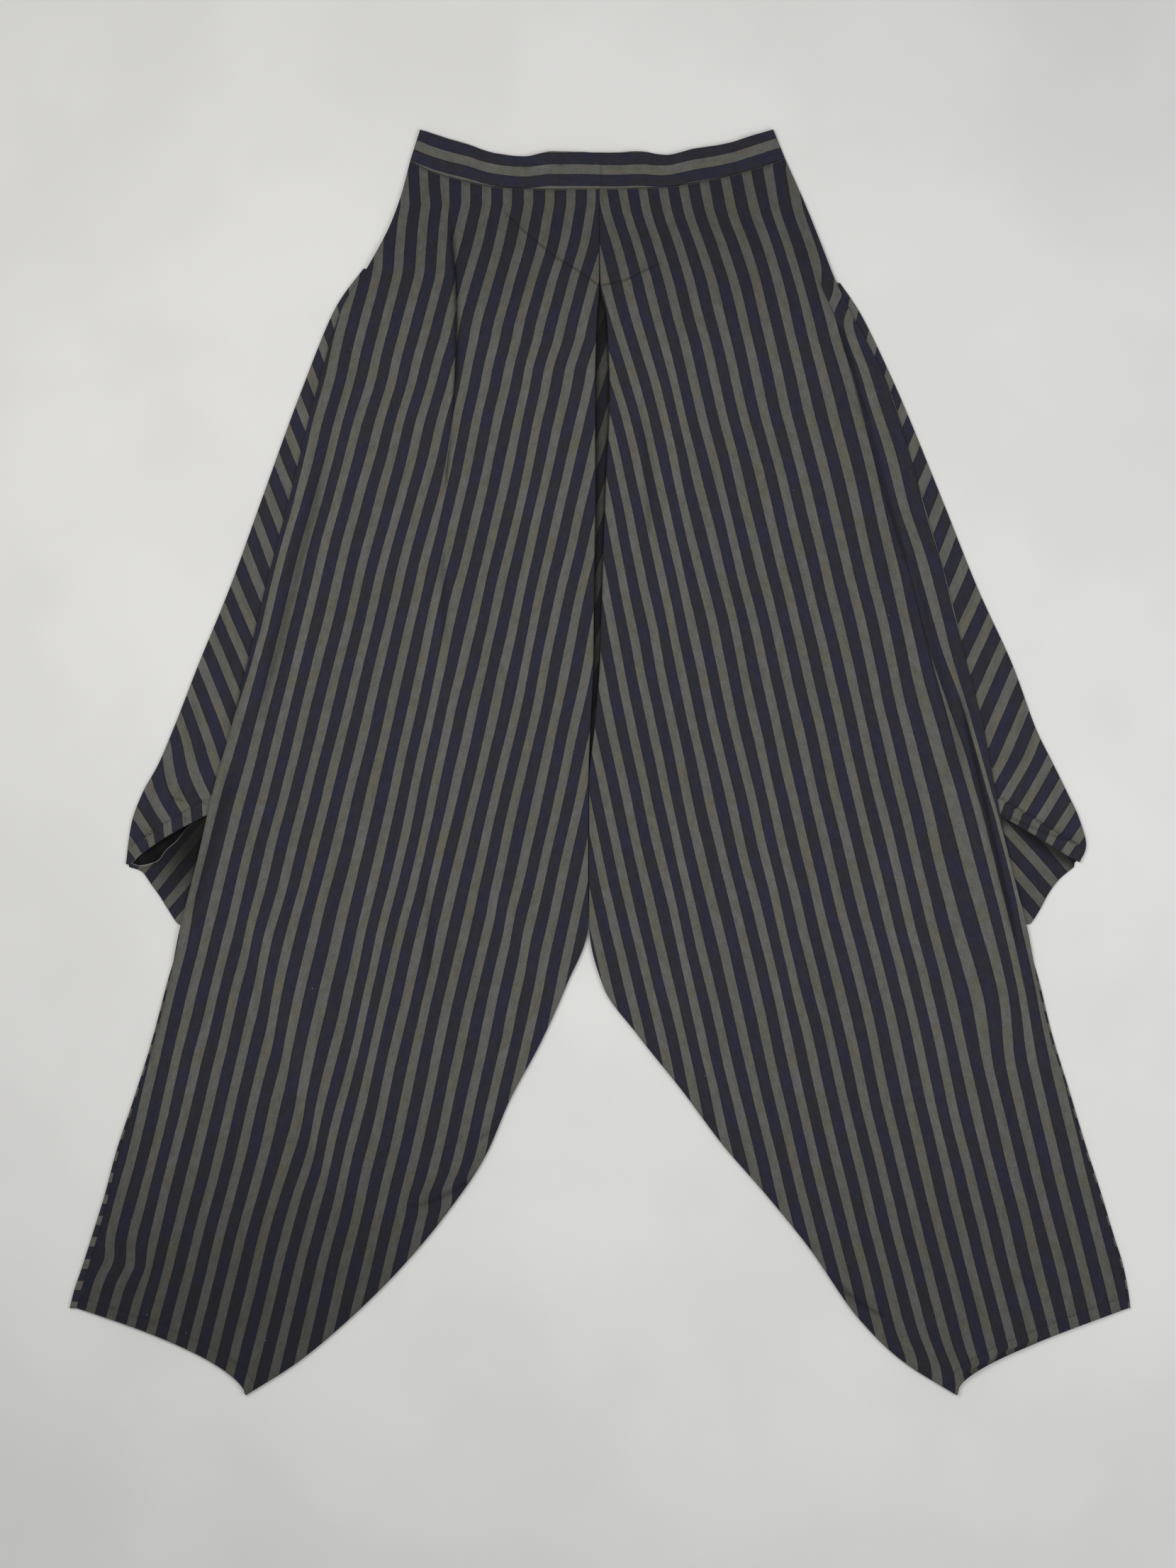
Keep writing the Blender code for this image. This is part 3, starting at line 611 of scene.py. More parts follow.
shadowsLeft = [
    Shadow(-128, 466, -118.5, 400, -122.5, 306, 0.72, 3.0),
    Shadow(-123, 330, -124, 290, -132, 226, 0.60, 1.8),
    Shadow(-231, 262, -268, 110, -292, 24, 0.34, 6),
    Shadow(-244, 262, -283, 110, -302, 24, -0.16, 5),
    Shadow(-306, 0, -330, -70, -344, -128, 0.30, 6),
    Shadow(-318, 0, -340, -70, -354, -134, -0.14, 4),
    Shadow(-134, 184, -131, 150, -132, 96, 0.36, 3.5),
    Shadow(-148, -88, -144, -140, -145, -190, 0.26, 4),
    Shadow(-168, -376, -130, -374, -90, -336, 0.45, 3.4),
    Shadow(-106, -322, -97, -312, -84, -308, 0.35, 2.6),
]

shadowsRight = [
    Shadow(203, 372, 214, 330, 227, 285, 0.55, 2.4),
    Shadow(222, 305, 240, 230, 262, 160, 0.42, 2.4),
    Shadow(301, 70, 329, -50, 356, -170, 0.62, 3.0),
    Shadow(309, 46, 336, -50, 361, -140, -0.22, 3.6),
    Shadow(262, 176, 285, 80, 312, -20, 0.26, 4),
    Shadow(36, 292, 42, 240, 41, 186, 0.22, 4),
    Shadow(196, -435, 212, -455, 242, -469, 0.60, 3.0),
]

stripeGathers = {
    leftSide: [Gather(-245, 262, -284, 110, -305, 24, 0.16, 6, 0.0),
               Gather(-296, 90, -330, -30, -356, -160, 0.0, 15, 0.18),
               Gather(-168, 60, -190, -190, -290, -400, 0.0, 28, -0.22),
               Gather(-446, -414, -414, -420, -376, -430, 0.0, 13, -0.22),
               Gather(-176, -376, -130, -373, -84, -334, 0.12, 9, 0.12)],
    rightSide: [Gather(284, 130, 330.8, -20, 363, -150, 0.42, 5.5, 0.06),
                Gather(286, 90, 311, -20, 352, -260, 0.0, 22, -0.36),
                Gather(240, -486, 282, -512, 336, -530, 0.0, 14, -0.18)],
}

# Pressed lines where the pleat's top is sewn inside, across both fronts
pressedLines = {
    leftSide: [[(-83.0, 467.0), (-61.0, 446.0), (-38.0, 427.0), (-19.0, 415.5), (2.0, 400.5)]],
    rightSide: [[(-2.0, 402.0), (21.3, 407.0), (38.0, 415.5), (52.0, 422.3)]],
}

frontCut = {
    "outerColumns": {leftSide: 44, rightSide: 22},
    "innerColumns": {leftSide: 58, rightSide: 82},
    "turnColumns": 6,
    "returnColumns": 8,
    "rows": 262,
    "hemRows": 22,
    "hemStart": 0.962,        # the share of the table where the rows come closer
    "hemBand": 10.8,
    "hemRise": 0.35,
    "hemGroove": 0.3,
    "hemStep": (1.0, 1.6),    # where the rise ends before the sewn line, and how gently
    "grooveAt": (0.6, 1.4),   # how far past the sewn line its groove is, and how wide
    "hemLine": 0.3,           # how strongly the hem's sewn line shows
    "hemLineNear": 26,        # the distance from the hem within which it is the nearest line
    "hemLineFade": (16, 8),
    "hemBend": {leftSide: 0.55, rightSide: 0.45},
    "hemDark": {leftSide: 0.36, rightSide: 0.15},
    "waistDark": 0.20,
    "hemShade": (240, 240),   # how far below the middle the painted shade begins, and over what length
    "waistShade": (330, 130),
    "creaseFade": (12, 10),   # how far from the inner and outer edges the folds fade out
    "waistFades": 12,
    "overTurn": 3.3,          # the lowest that the cloth lies over its turned edge
    "turnMargin": 7,
    "besideFold": (0.18, 5, 8),    # the dip beside an overlapping fold: share, place, reach
    "edgeMargins": (2, 4),
    "innerRun": 30,           # how far in the panel's ends reach the level that it lies at
    "outerRun": 24,
    "liftUnderFold": 22,
    "pressedDepth": 0.5,
    "pressedLine": 0.8,
    "pressedWidth": 3.0,
    "pressedEnds": 8,         # a pressed line fades over an eighth of its length
    # painted shade on the turned-under inner edge and inside the overlapping fold
    "turnedDark": 0.45,
    "turnedFrom": (6, 20),    # how much cloth is turned under where it begins to be dark
    "turnDarkens": 1.5,
    "foldDark": 0.5,
    "relief": 0.05,           # painted highlight and shade: how much paler a raised place is painted, and a hollow darker, for each millimetre
    "reliefRange": (-1.5, 2),
    "bandGap": 0.2,
}

# How the grid's columns go through an overlapping fold: how many there are on the top layer,
# round its edge, on the hidden layer, round the lower turn and out again
overlapParts = (2, 5, 2, 5, 4)
overlapFold = {
    "radius": 0.75,
    "lead": 3.0,              # flat cloth before and behind the fold's edge
    "tail": 2.0,
    "turnsTake": 5.7,         # radii of cloth that its two turns take
    "opens": (2, 5),          # hidden cloth at which it begins to fold, and over how much more
    "between": (3, 12),       # the least flat cloth that it leaves at the two ends of a row
}

# The right hem's edge, which curls up along a part of its length
hemCurl = {"reach": 2.6, "wave": 1.2, "waves": 31, "run": 2.2, "from": (0.45, 0.10),
           "to": (0.86, 0.06), "rise": 0.6, "jog": 0.2, "dark": 0.45}

# The narrow crosswise strips round the legs' outer edges
stripCut = {
    "flatColumns": 2,
    "turnColumns": 6,
    "rows": 120,
    "start": -150.0,          # the height below which a strip comes out
    "comesOut": (14, 60),
    "flap": 6.0,              # how far it shows on the left front, low down, and elsewhere
    "leastFlap": 1.8,
    "widens": (290, 170),     # how far below the middle it widens, and over what length
    "leastRadius": 0.45,
    "tuck": 2.2,
    "clearance": 0.2,
    "seamGap": 0.3,
    "dashStart": 315.0,
    "dashSpacing": 18.1,
    "tone": 0.95,
}


def overlapShape(step, hidden):
    # Where a column of the fold lies from the fold's edge, across and up, and its share of the
    # cloth in the fold
    radius, lead, tail = [overlapFold[part] for part in ("radius", "lead", "tail")]
    back = np.maximum(hidden - overlapFold["turnsTake"] * radius, 0) / 2
    strength = risen(hidden, *overlapFold["opens"])
    turn = math.pi * radius
    lengths = [lead - radius, turn, back, turn, radius + back + tail]
    starts = np.cumsum((0,) + overlapParts)
    shares = [np.clip((step - start) / count, 0, 1) for start, count in zip(starts, overlapParts)]
    a, b, c, d, e = shares
    x = (-lead + a * lengths[0] + radius * np.sin(math.pi * b) - c * back
         - radius * np.sin(math.pi * d) + e * lengths[4])
    z = radius * (2 + np.cos(math.pi * b) + np.cos(math.pi * d))
    run = sum(share * length for share, length in zip(shares, lengths)) / sum(lengths)
    flat = step / starts[-1]
    return (blendTo(-lead + flat * (lead + tail), x, strength), z * strength,
            blendTo(flat, run, strength), 4 * radius * strength)


def rowPlaces(table):
    # The grid's rows as shares of the table, evenly spaced and closer at the hem, hem first
    t, tooNear = np.linspace(0, 1, 600), 0.002
    row = readTable(table, t)
    steps = np.hypot(np.diff(row.xIn + row.xOut), np.diff(row.yIn + row.yOut)) / 2
    run = np.concatenate(([0], np.cumsum(steps)))
    even = np.interp(np.linspace(0, run[-1], frontCut["rows"]), run, t)
    hem = np.linspace(frontCut["hemStart"], 1, frontCut["hemRows"] + 1)
    return np.concatenate((even[even < frontCut["hemStart"] - tooNear], hem))[::-1]


def bandSeam(x):
    points = np.array(waistbandPoints)
    at = np.interp(x, points[:, 2], np.linspace(0, 1, len(points)))
    return readTable(waistbandPoints, at).yBottom


def hemBow(u, side):
    # How much of its rise the hem's bow has at a share of the way in from the outer edge
    inward = np.clip(1 - u, 0, 1) ** frontCut["hemBend"][side]
    return 4 * inward * (1 - inward)


def stripFlap(side, y):
    # How far the side strip shows on the front, from the leg's edge inwards
    shows = stripCut["flap"] if side < 0 else stripCut["leastFlap"]
    return blendTo(stripCut["leastFlap"], shows, risen(-y, *stripCut["widens"]))


def stripRamp(y):
    # The side strip comes out from under the front's edge little by little
    lead, run = stripCut["comesOut"]
    return smooth((stripCut["start"] + lead - y) / run)


def stripeAt(stripes, x, y):
    # The stripe coordinate of a place: a whole number in the middle of each olive stripe
    row = readTable(stripes, y, "y")
    k = (x - row.first) / row.spacing
    for _ in range(8):
        k = (x - row.first) / (row.spacing + row.growth * k)
    return k, row.spacing + 2 * row.growth * k


def hemLine(table, side, points=25):
    row = readTable(table, np.ones(points))
    u = np.linspace(0, 1, points)
    return np.stack((blendTo(row.xOut, row.xIn, u),
                     blendTo(row.yOut, row.yIn, u) + row.rise * hemBow(u, side)), 1)


def bandLift(table, t, u, gap):
    # How far the top rows are moved up to meet the waistband's seam
    top, run = table[0], 0.16
    x, y = blendTo(top.xOut, top.xIn, u), blendTo(top.yOut, top.yIn, u)
    return (bandSeam(x) - gap - y) * shelf(t, 0, run)


def curlAt(side, toHem, alongHem):
    reach = hemCurl["reach"] + hemCurl["wave"] * np.sin(alongHem * hemCurl["waves"])
    along = risen(alongHem, *hemCurl["from"]) * shelf(alongHem, *hemCurl["to"])
    return shelf(toHem, reach, hemCurl["run"]) * along * (side > 0)


def hemRelief(toHem, curl):
    # The turned hem lies a little higher, with a groove where it is sewn and the curled edge
    (before, run), (past, width) = frontCut["hemStep"], frontCut["grooveAt"]
    band = shelf(toHem, frontCut["hemBand"] - before, run)
    groove = bump(toHem - frontCut["hemBand"] - past, width)
    return (hemCurl["rise"] * curl + frontCut["hemRise"] * band
            - frontCut["hemGroove"] * groove)


def pressedRelief(side, x, y, toInner):
    relief, width = 0, frontCut["pressedWidth"]
    for points in pressedLines[side]:
        signed, share = nearLine(points, x, y)
        ends = smooth(share * frontCut["pressedEnds"])
        relief = relief - frontCut["pressedDepth"] * bump(signed, width) * ends
    return relief * smooth(toInner / width)


def frontShade(side, y, curl):
    # Painted shade: the fronts are painted darker at the curled edge and towards the hem and the
    # waist
    return ((1 - hemCurl["dark"] * curl)
            * (1 - frontCut["hemDark"][side] * risen(-y, *frontCut["hemShade"]))
            * (1 - frontCut["waistDark"] * risen(y, *frontCut["waistShade"])))


def frontLines(side, x, y, toHem):
    # The distance from the nearest pressed or sewn line, and how strongly it shows
    line, shows = nearestOf(pressedLines[side], x, y)
    onHem = toHem < frontCut["hemLineNear"]
    line = np.where(onHem, toHem - frontCut["hemBand"], line)
    hemShows = frontCut["hemLine"] * shelf(toHem, *frontCut["hemLineFade"])
    return line, np.where(onHem, hemShows, shows * frontCut["pressedLine"])


def frontPlace(side, table, creases, shadows, overlap, stripes):
    places = rowPlaces(table)
    rowCount = len(places) - 1
    n = [frontCut["outerColumns"][side], sum(overlapParts), frontCut["innerColumns"][side],
         frontCut["turnColumns"], frontCut["returnColumns"]]
    starts = np.cumsum([0] + n)
    radius, level = layers["turnRadius"], layers["layLevel"]
    lead, tail = overlapFold["lead"], overlapFold["tail"]
    leastOuter, leastInner = overlapFold["between"]
    innerFade, outerFade = frontCut["creaseFade"]
    innerMargin, outerMargin = frontCut["edgeMargins"]
    hem = hemLine(table, side)

    def place(i, j):
        t = np.interp(j, np.arange(len(places)), places)
        row = readTable(table, t)
        shown = stripFlap(side, row.yOut) + stripCut["seamGap"]
        xEdge = row.xOut - side * stripRamp(row.yOut) * shown
        width = np.hypot(row.xIn - xEdge, row.yIn - row.yOut)
        ux, uy = (row.xIn - xEdge) / width, (row.yIn - row.yOut) / width
        flat = width - halfWall - radius
        foldAt = flat * 0.4    # a first guess
        for _ in range(4):     # where the overlapping fold's edge crosses this row
            crossed = readTable(overlap, row.yOut + uy * foldAt, "y")
            foldAt = np.clip((crossed.x - xEdge) / ux, lead + leastOuter, flat - leastInner)
        outer, _, inner, turn, back = [np.clip((i - start) / count, 0, 1)
                                       for start, count in zip(starts, n)]
        foldX, foldZ, share, lip = overlapShape(np.clip(i - starts[1], 0, n[1]), crossed.hidden)
        along = np.where(i <= starts[1], outer * (foldAt - lead),
                         np.where(i <= starts[2], foldAt + foldX,
                                  foldAt + tail + inner * (flat - foldAt - tail)))
        x, y = xEdge + ux * along, row.yOut + uy * along
        toInner, u = flat - along, along / flat
        bowed = row.rise * hemBow(u, side)
        toHem, alongHem = nearLine(hem, x, y + bowed)
        toHem = np.abs(toHem)
        curl = curlAt(side, toHem, alongHem)

        # the lie of the cloth and its soft folds
        overTurned = shelf(toInner, row.turned + innerMargin, frontCut["innerRun"])
        z = level + (row.zIn - level) * overTurned
        z += (row.zOut - level) * shelf(along, outerMargin, frontCut["outerRun"])
        quiet = (smooth(toInner / innerFade) * smooth(along / outerFade)
                 * smooth(t * frontCut["waistFades"]))
        relief, drawn = creaseHeight(creases, x, y)
        relief = relief * quiet + pressedRelief(side, x, y, toInner) + hemRelief(toHem, curl)
        z = np.maximum(z + relief, np.where(toInner < row.turned + frontCut["turnMargin"],
                                            frontCut["overTurn"], layers["secondLevel"]))
        lifted = lip * shelf(foldAt - along, lead, frontCut["liftUnderFold"])
        z += np.where(i <= starts[1], lifted, 0)
        z += np.where((i > starts[1]) & (i <= starts[2]), foldZ, 0)
        deep, beyondFold, reach = frontCut["besideFold"]
        z -= np.where(i > starts[2], deep * lip * bump(along - foldAt - beyondFold, reach), 0)
        y = y + bowed + bandLift(table, t, u, frontCut["bandGap"])

        # the turned inner edge
        angle = math.pi * turn
        reach = np.where(back > 0, flat - back * row.turned, flat + radius * np.sin(angle))
        turned = i > starts[3]
        x = np.where(turned, xEdge + ux * reach, x)
        underneath = row.yOut + uy * reach + row.rise * hemBow(reach / flat, side)
        y = np.where(turned, underneath + bandLift(table, t, 1.0, frontCut["bandGap"]), y)
        z = np.where(turned, row.zIn - radius * (1 - np.cos(angle)), z)

        # stripes, which the overlapping fold hides a part of
        edgeX = xEdge + ux * flat
        hidden = side * crossed.hidden
        visible, spacing = stripeAt(stripes, np.where(turned, edgeX, x), y)
        beyond, _ = stripeAt(stripes, x + hidden, y)
        first, _ = stripeAt(stripes, xEdge + ux * (foldAt - lead) + hidden, y)
        last, _ = stripeAt(stripes, xEdge + ux * (foldAt + tail), y)
        across = np.where(i <= starts[1], beyond,
                          np.where(i <= starts[2], blendTo(first, last, share), visible))
        across -= side * (radius * angle + back * row.turned) / spacing
        drawn += gatherStripes(stripeGathers[side], x, y)
        across += np.where(turned, 0, drawn) + hemCurl["jog"] * curl

        # painted light and shade: raised places are painted paler and hollows darker
        lighter = frontCut["relief"] * np.clip(relief, *frontCut["reliefRange"])
        tone = (1 + lighter) * shadowTone(shadows, x, y)
        # painted shade inside the overlapping fold
        inFold = (i > starts[1] + 5) & (i < starts[2] - 2)
        tone = np.where(inFold, 1 - frontCut["foldDark"] * lip / 3, tone)
        # painted shade where the inner edge turns under
        tone *= (1 - frontCut["turnedDark"] * smooth(turn * frontCut["turnDarkens"])
                 * risen(row.turned, *frontCut["turnedFrom"]))
        tone *= frontShade(side, y, curl)
        line, shows = frontLines(side, x, y, toHem)
        return x, y, z, across, -y / layers["stripeRepeat"], tone, line, shows

    return place, int(starts[-1]), rowCount


def makeFront(name, node, side, table, creases, shadows, overlap, stripes):
    place, columns, rows = frontPlace(side, table, creases, shadows, overlap, stripes)
    return clothPiece(name, columns, rows, place, node)


frontLeft = makeFront("frontLeftPanel", "front_left", leftSide, frontLeftRows, creasesLeft,
                      shadowsLeft, overlapLeft, stripesLeft)
frontRight = makeFront("frontRightPanel", "front_right", rightSide, frontRightRows,
                       creasesRight, shadowsRight, overlapRight, stripesRight)


# The pleat's back, the back panels and the side strips
backCut = {"columns": 40, "rows": 150, "wall": 1.0, "level": 0.55, "crotch": (-9.9, -137.1),
           "waist": (-0.6, 484.5), "centreGap": 0.15, "innerGap": 0.8, "outerGap": 0.3,
           "bandGap": 0.4, "stripRun": 14, "tone": 0.97}


def makeBack(name, node, side, table, stripes):
    def place(i, j):
        t = 1 - j / backCut["rows"]
        row = readTable(table, t)
        (crotchX, crotchY), (waistX, waistY) = backCut["crotch"], backCut["waist"]
        seam = blendTo(waistX, crotchX, (waistY - row.yIn) / (waistY - crotchY))
        xIn = np.where(row.yIn > crotchY, seam + side * backCut["centreGap"],
                       row.xIn + side * backCut["innerGap"])
        lead, run = stripCut["comesOut"][0], backCut["stripRun"]
        ramp = smooth((stripCut["start"] + lead - row.yOut) / run)
        xOut = row.xOut - side * (backCut["outerGap"] + ramp * stripCut["flap"])
        u = i / backCut["columns"]
        x = blendTo(xOut, xIn, u)
        y = blendTo(row.yOut, row.yIn, u) + row.rise * hemBow(u, side)
        y = y + bandLift(table, t, u, backCut["bandGap"])
        across, _ = stripeAt(stripes, x, y)
        return (x, y, backCut["level"], across, -y / layers["stripeRepeat"], backCut["tone"])

    return clothPiece(name, backCut["columns"], backCut["rows"], place, node, backCut["wall"])


backLeft = makeBack("backLeftPanel", "back_left", leftSide, frontLeftRows, stripesLeft)
backRight = makeBack("backRightPanel", "back_right", rightSide, frontRightRows, stripesRight)

pleatCut = {"top": 0.10, "bottom": 0.555, "margin": 4.0, "columns": 64, "rows": 90,
            "stripeSlant": 0.323, "stripeStart": -2.9, "level": 1.9,
            "ripple": 0.2, "deepTone": 0.12, "lowTone": 0.45, "lightFrom": 374,
            "lightOver": 46, "leftShade": 0.25, "rightShade": 0.35, "narrowShade": 0.3,
            "rippleAcross": 0.35, "rippleAlong": 0.02, "leftReach": (0.6, 5),
            "rightReach": (0, 3), "narrowReach": (2, 8)}


def makePleatBack():
    def place(i, j):
        t = blendTo(pleatCut["bottom"], pleatCut["top"], j / pleatCut["rows"])
        left, right = readTable(frontLeftRows, t), readTable(frontRightRows, t)
        xLeft = left.xIn - left.turned - pleatCut["margin"]
        xRight = right.xIn + right.turned + pleatCut["margin"]
        u = i / pleatCut["columns"]
        x, y = blendTo(xLeft, xRight, u), blendTo(left.yIn, right.yIn, u)
        slanted = x - y * pleatCut["stripeSlant"] + pleatCut["stripeStart"]
        across = slanted / layers["stripeRepeat"]
        ripples = np.sin(x * pleatCut["rippleAcross"] + y * pleatCut["rippleAlong"])
        z = pleatCut["level"] + pleatCut["ripple"] * ripples
        # painted shade: the slit's floor is nearly black at its top and paler lower down
        tone = blendTo(pleatCut["deepTone"], pleatCut["lowTone"],
                       smooth((pleatCut["lightFrom"] - y) / pleatCut["lightOver"]))
        # painted shade under the slit's two edges and where the slit is narrow
        for shade, reach, distance in (("leftShade", "leftReach", x - left.xIn),
                                       ("rightShade", "rightReach", right.xIn - x),
                                       ("narrowShade", "narrowReach", right.xIn - left.xIn)):
            tone = tone * blendTo(pleatCut[shade], 1.0, risen(distance, *pleatCut[reach]))
        return x, y, z, across, -y / layers["stripeRepeat"], tone

    return clothPiece("pleatBack", pleatCut["columns"], pleatCut["rows"], place, "pleat_underlay")


pleatBack = makePleatBack()


def makeSideStrip(name, node, side, table):
    flatColumns, turnColumns = stripCut["flatColumns"], stripCut["turnColumns"]
    t = np.linspace(0, 1, 800)
    start = t[np.argmax(readTable(table, t).yOut < stripCut["start"])]

    def place(i, j):
        row = readTable(table, blendTo(1.0, start, j / stripCut["rows"]))
        ramp = stripRamp(row.yOut)
        radius = blendTo(stripCut["leastRadius"], layers["turnRadius"], ramp)
        tuck = stripCut["tuck"] * (1 - ramp)
        centre = row.xOut - side * (halfWall + radius + tuck)
        under = np.clip(i / flatColumns, 0, 1)
        angle = math.pi * np.clip((i - flatColumns) / turnColumns, 0, 1)
        over = np.clip((i - flatColumns - turnColumns) / flatColumns, 0, 1)
        flap = np.maximum(stripFlap(side, row.yOut),
                          halfWall + radius + stripCut["clearance"] + tuck)
        hiddenEdge = row.xOut - side * (stripCut["flap"] - stripCut["seamGap"])
        x = np.where(i < flatColumns, blendTo(hiddenEdge, centre, under),
                     np.where(over > 0, blendTo(centre, row.xOut - side * flap, over),
                              centre + side * radius * np.sin(angle)))
        z = layers["backLevel"] + radius * (1 - np.cos(angle))
        across = (row.yOut + stripCut["dashStart"]) / stripCut["dashSpacing"]
        return x, row.yOut, z, across, x / layers["stripeRepeat"], stripCut["tone"]

    return clothPiece(name, 2 * flatColumns + turnColumns, stripCut["rows"], place, node)


stripLeft = makeSideStrip("sideStripLeft", "side_strip_left", leftSide, frontLeftRows)
stripRight = makeSideStrip("sideStripRight", "side_strip_right", rightSide, frontRightRows)


# The hanging wings
WingRow = namedtuple("WingRow", "xIn yIn zIn xOut yOut zOut crown")

wingLeftRows = [
    WingRow(-197.1, 417.3, 2.4, -199.3, 417.3, 2.1, 0),
    WingRow(-216.3, 387.3, 2.7, -221.1, 387.3, 2.1, 0),
    WingRow(-240.9, 309.3, 2.7, -253.5, 309.3, 2.1, 0.4),
    WingRow(-261.9, 225.3, 2.7, -284.1, 225.3, 2.1, 0.8),
    WingRow(-282.9, 147.3, 2.7, -312.3, 147.3, 2.1, 1.0),
    WingRow(-298.5, 81.3, 2.7, -339.3, 81.3, 2.1, 1.4),
    WingRow(-310.5, 33.3, 3.0, -357.9, 33.3, 2.1, 2.4),
    WingRow(-321.0, -1.5, 3.4, -372.6, -1.5, 2.1, 4.0),
    WingRow(-326.7, -19.5, 3.6, -386.4, -26.7, 2.1, 5.4),
    WingRow(-330.0, -32.7, 3.6, -395.1, -50.7, 2.1, 6.6),
    WingRow(-331.5, -42.9, 3.6, -400.5, -85.5, 2.1, 7.6),
]

wingRightRows = [
    WingRow(199.5, 405.3, 2.4, 202.0, 405.3, 2.1, 0),
    WingRow(210.9, 381.3, 2.7, 217.5, 382.5, 2.1, 0),
    WingRow(243.3, 318.3, 2.7, 248.7, 318.3, 2.1, 0.3),
    WingRow(271.5, 225.3, 2.7, 287.1, 225.3, 2.1, 0.7),
    WingRow(294.3, 147.3, 2.7, 318.3, 147.3, 2.1, 1.0),
    WingRow(310.5, 81.3, 2.7, 348.3, 81.3, 2.1, 1.2),
    WingRow(324.3, 27.3, 3.2, 368.1, 27.3, 2.3, 1.4),
    WingRow(330.9, 0.3, 3.6, 381.3, 0.3, 2.8, 1.4),
    WingRow(333.3, -17.7, 3.6, 393.9, -25.5, 3.2, 1.2),
    WingRow(334.5, -29.7, 3.6, 404.1, -47.7, 3.6, 1.0),
    WingRow(335.2, -36.5, 3.6, 409.9, -69.5, 3.5, 0.9),
    WingRow(335.7, -41.7, 3.6, 405.4, -84.0, 3.2, 0.8),
]

creasesWingLeft = [
    Crease(-352, -20, -366, -36, -372, -56, -1.3, 4, 0.2),
    Crease(-334, -24, -343, -30, -352, -28, -0.8, 3, 0),
    Crease(-384, -36, -376, -50, -386, -66, -1.0, 5, 0.2),
    Crease(-300, 60, -318, 40, -326, 10, -0.7, 7, 0.2),
]

creasesWingRight = [
    Crease(338, -34, 372, -52, 404, -66, -0.9, 3, 0.3),
    Crease(360, -44, 368, -52, 380, -58, 0.7, 3, 0),
    Crease(340, -20, 352, -36, 366, -44, 0.6, 4, 0.2),
    Crease(312, 60, 330, 40, 344, 10, -0.6, 7, 0.2),
]

shadowsWingLeft = [
    Shadow(-364, -28, -357, -31, -350, -33, 0.45, 1.6),
    Shadow(-340, -31, -336, -34, -332, -36, 0.45, 1.6),
    Shadow(-358, -43, -352, -46, -346, -49, 0.40, 1.6),
    Shadow(-378, -55, -373, -59, -369, -62, 0.40, 1.6),
    Shadow(-196, 418, -262, 226, -330, -40, 0.22, 4),
]

shadowsWingRight = [
    Shadow(336, -41, 372, -60, 408, -70, 0.35, 2.2),
    Shadow(200, 404, 272, 226, 336, -40, 0.22, 4),
]

wingCut = {
    "columns": 30,
    "tuckColumns": 2,
    "turnColumns": 5,
    "rows": 120,
    "rollRows": 6,
    "insideRows": 2,
    "rollRadius": 0.8,
    "leastRoll": 0.25,
    "hemDepth": 8.0,
    "hemBand": 11.4,
    "hemGroove": 0.4,
    "lowest": 0.5,
    "rimTone": 2.0,           # the painted highlight on the left mouth's rolled lip
    "rimFrom": (0.74, 0.1),
    "rimTo": (0.93, 0.05),
    "crownRound": 1.5,
    "edgesFade": 8,           # the creases fade over an eighth of the width at each edge
    "grooveWidth": 2.2,
    "reliefRange": (-2, 2),
    "edgeFlattens": 0.8,      # the outer edge's fold at the mouth
    "flattensFrom": (0.95, 0.05),
    "rollFades": (0.86, 0.12),
    "rollThins": 0.6,
    "insideFades": (0.8, 0.15),
    "slantFrom": (-20, 50),
    "leastSlant": 0.25,
    "lineFade": (16, 8),
    "lineEnds": 20,
    # where the stripes meet the seam, how far apart, and their slant from the seam's line
    "stripeMeets": {leftSide: 110.7, rightSide: 109.0},
    "stripeSpacing": {leftSide: 29.1, rightSide: 30.0},
    "slantTop": {leftSide: 0.40, rightSide: 0.44},
    "slantMouth": {leftSide: 0.55, rightSide: 0.45},
    # the bottom edge's dip near the mouth's outer corner: share of the width, drop
    "cornerShare": {leftSide: 0.86, rightSide: 0.9},
    "cornerDrop": {leftSide: -2.0, rightSide: 0.0},
    "cornerRuns": (0.06, 0.10),
    "cornerFrom": (0.86, 0.14),
    "lipBow": {leftSide: 2.6, rightSide: 0.6},
    "lipBowFrom": (0.8, 0.2),
    # how the stripes turn and jog in the hem band
    "bandTurn": {leftSide: 0.030, rightSide: 0.010},
    "bandJog": {leftSide: 0.0, rightSide: -0.11},
    "bandTurnEnds": (0.85, 0.3),
    "jogFade": (2, 2.5),
    "bandLine": {leftSide: 0.35, rightSide: 0.6},
}


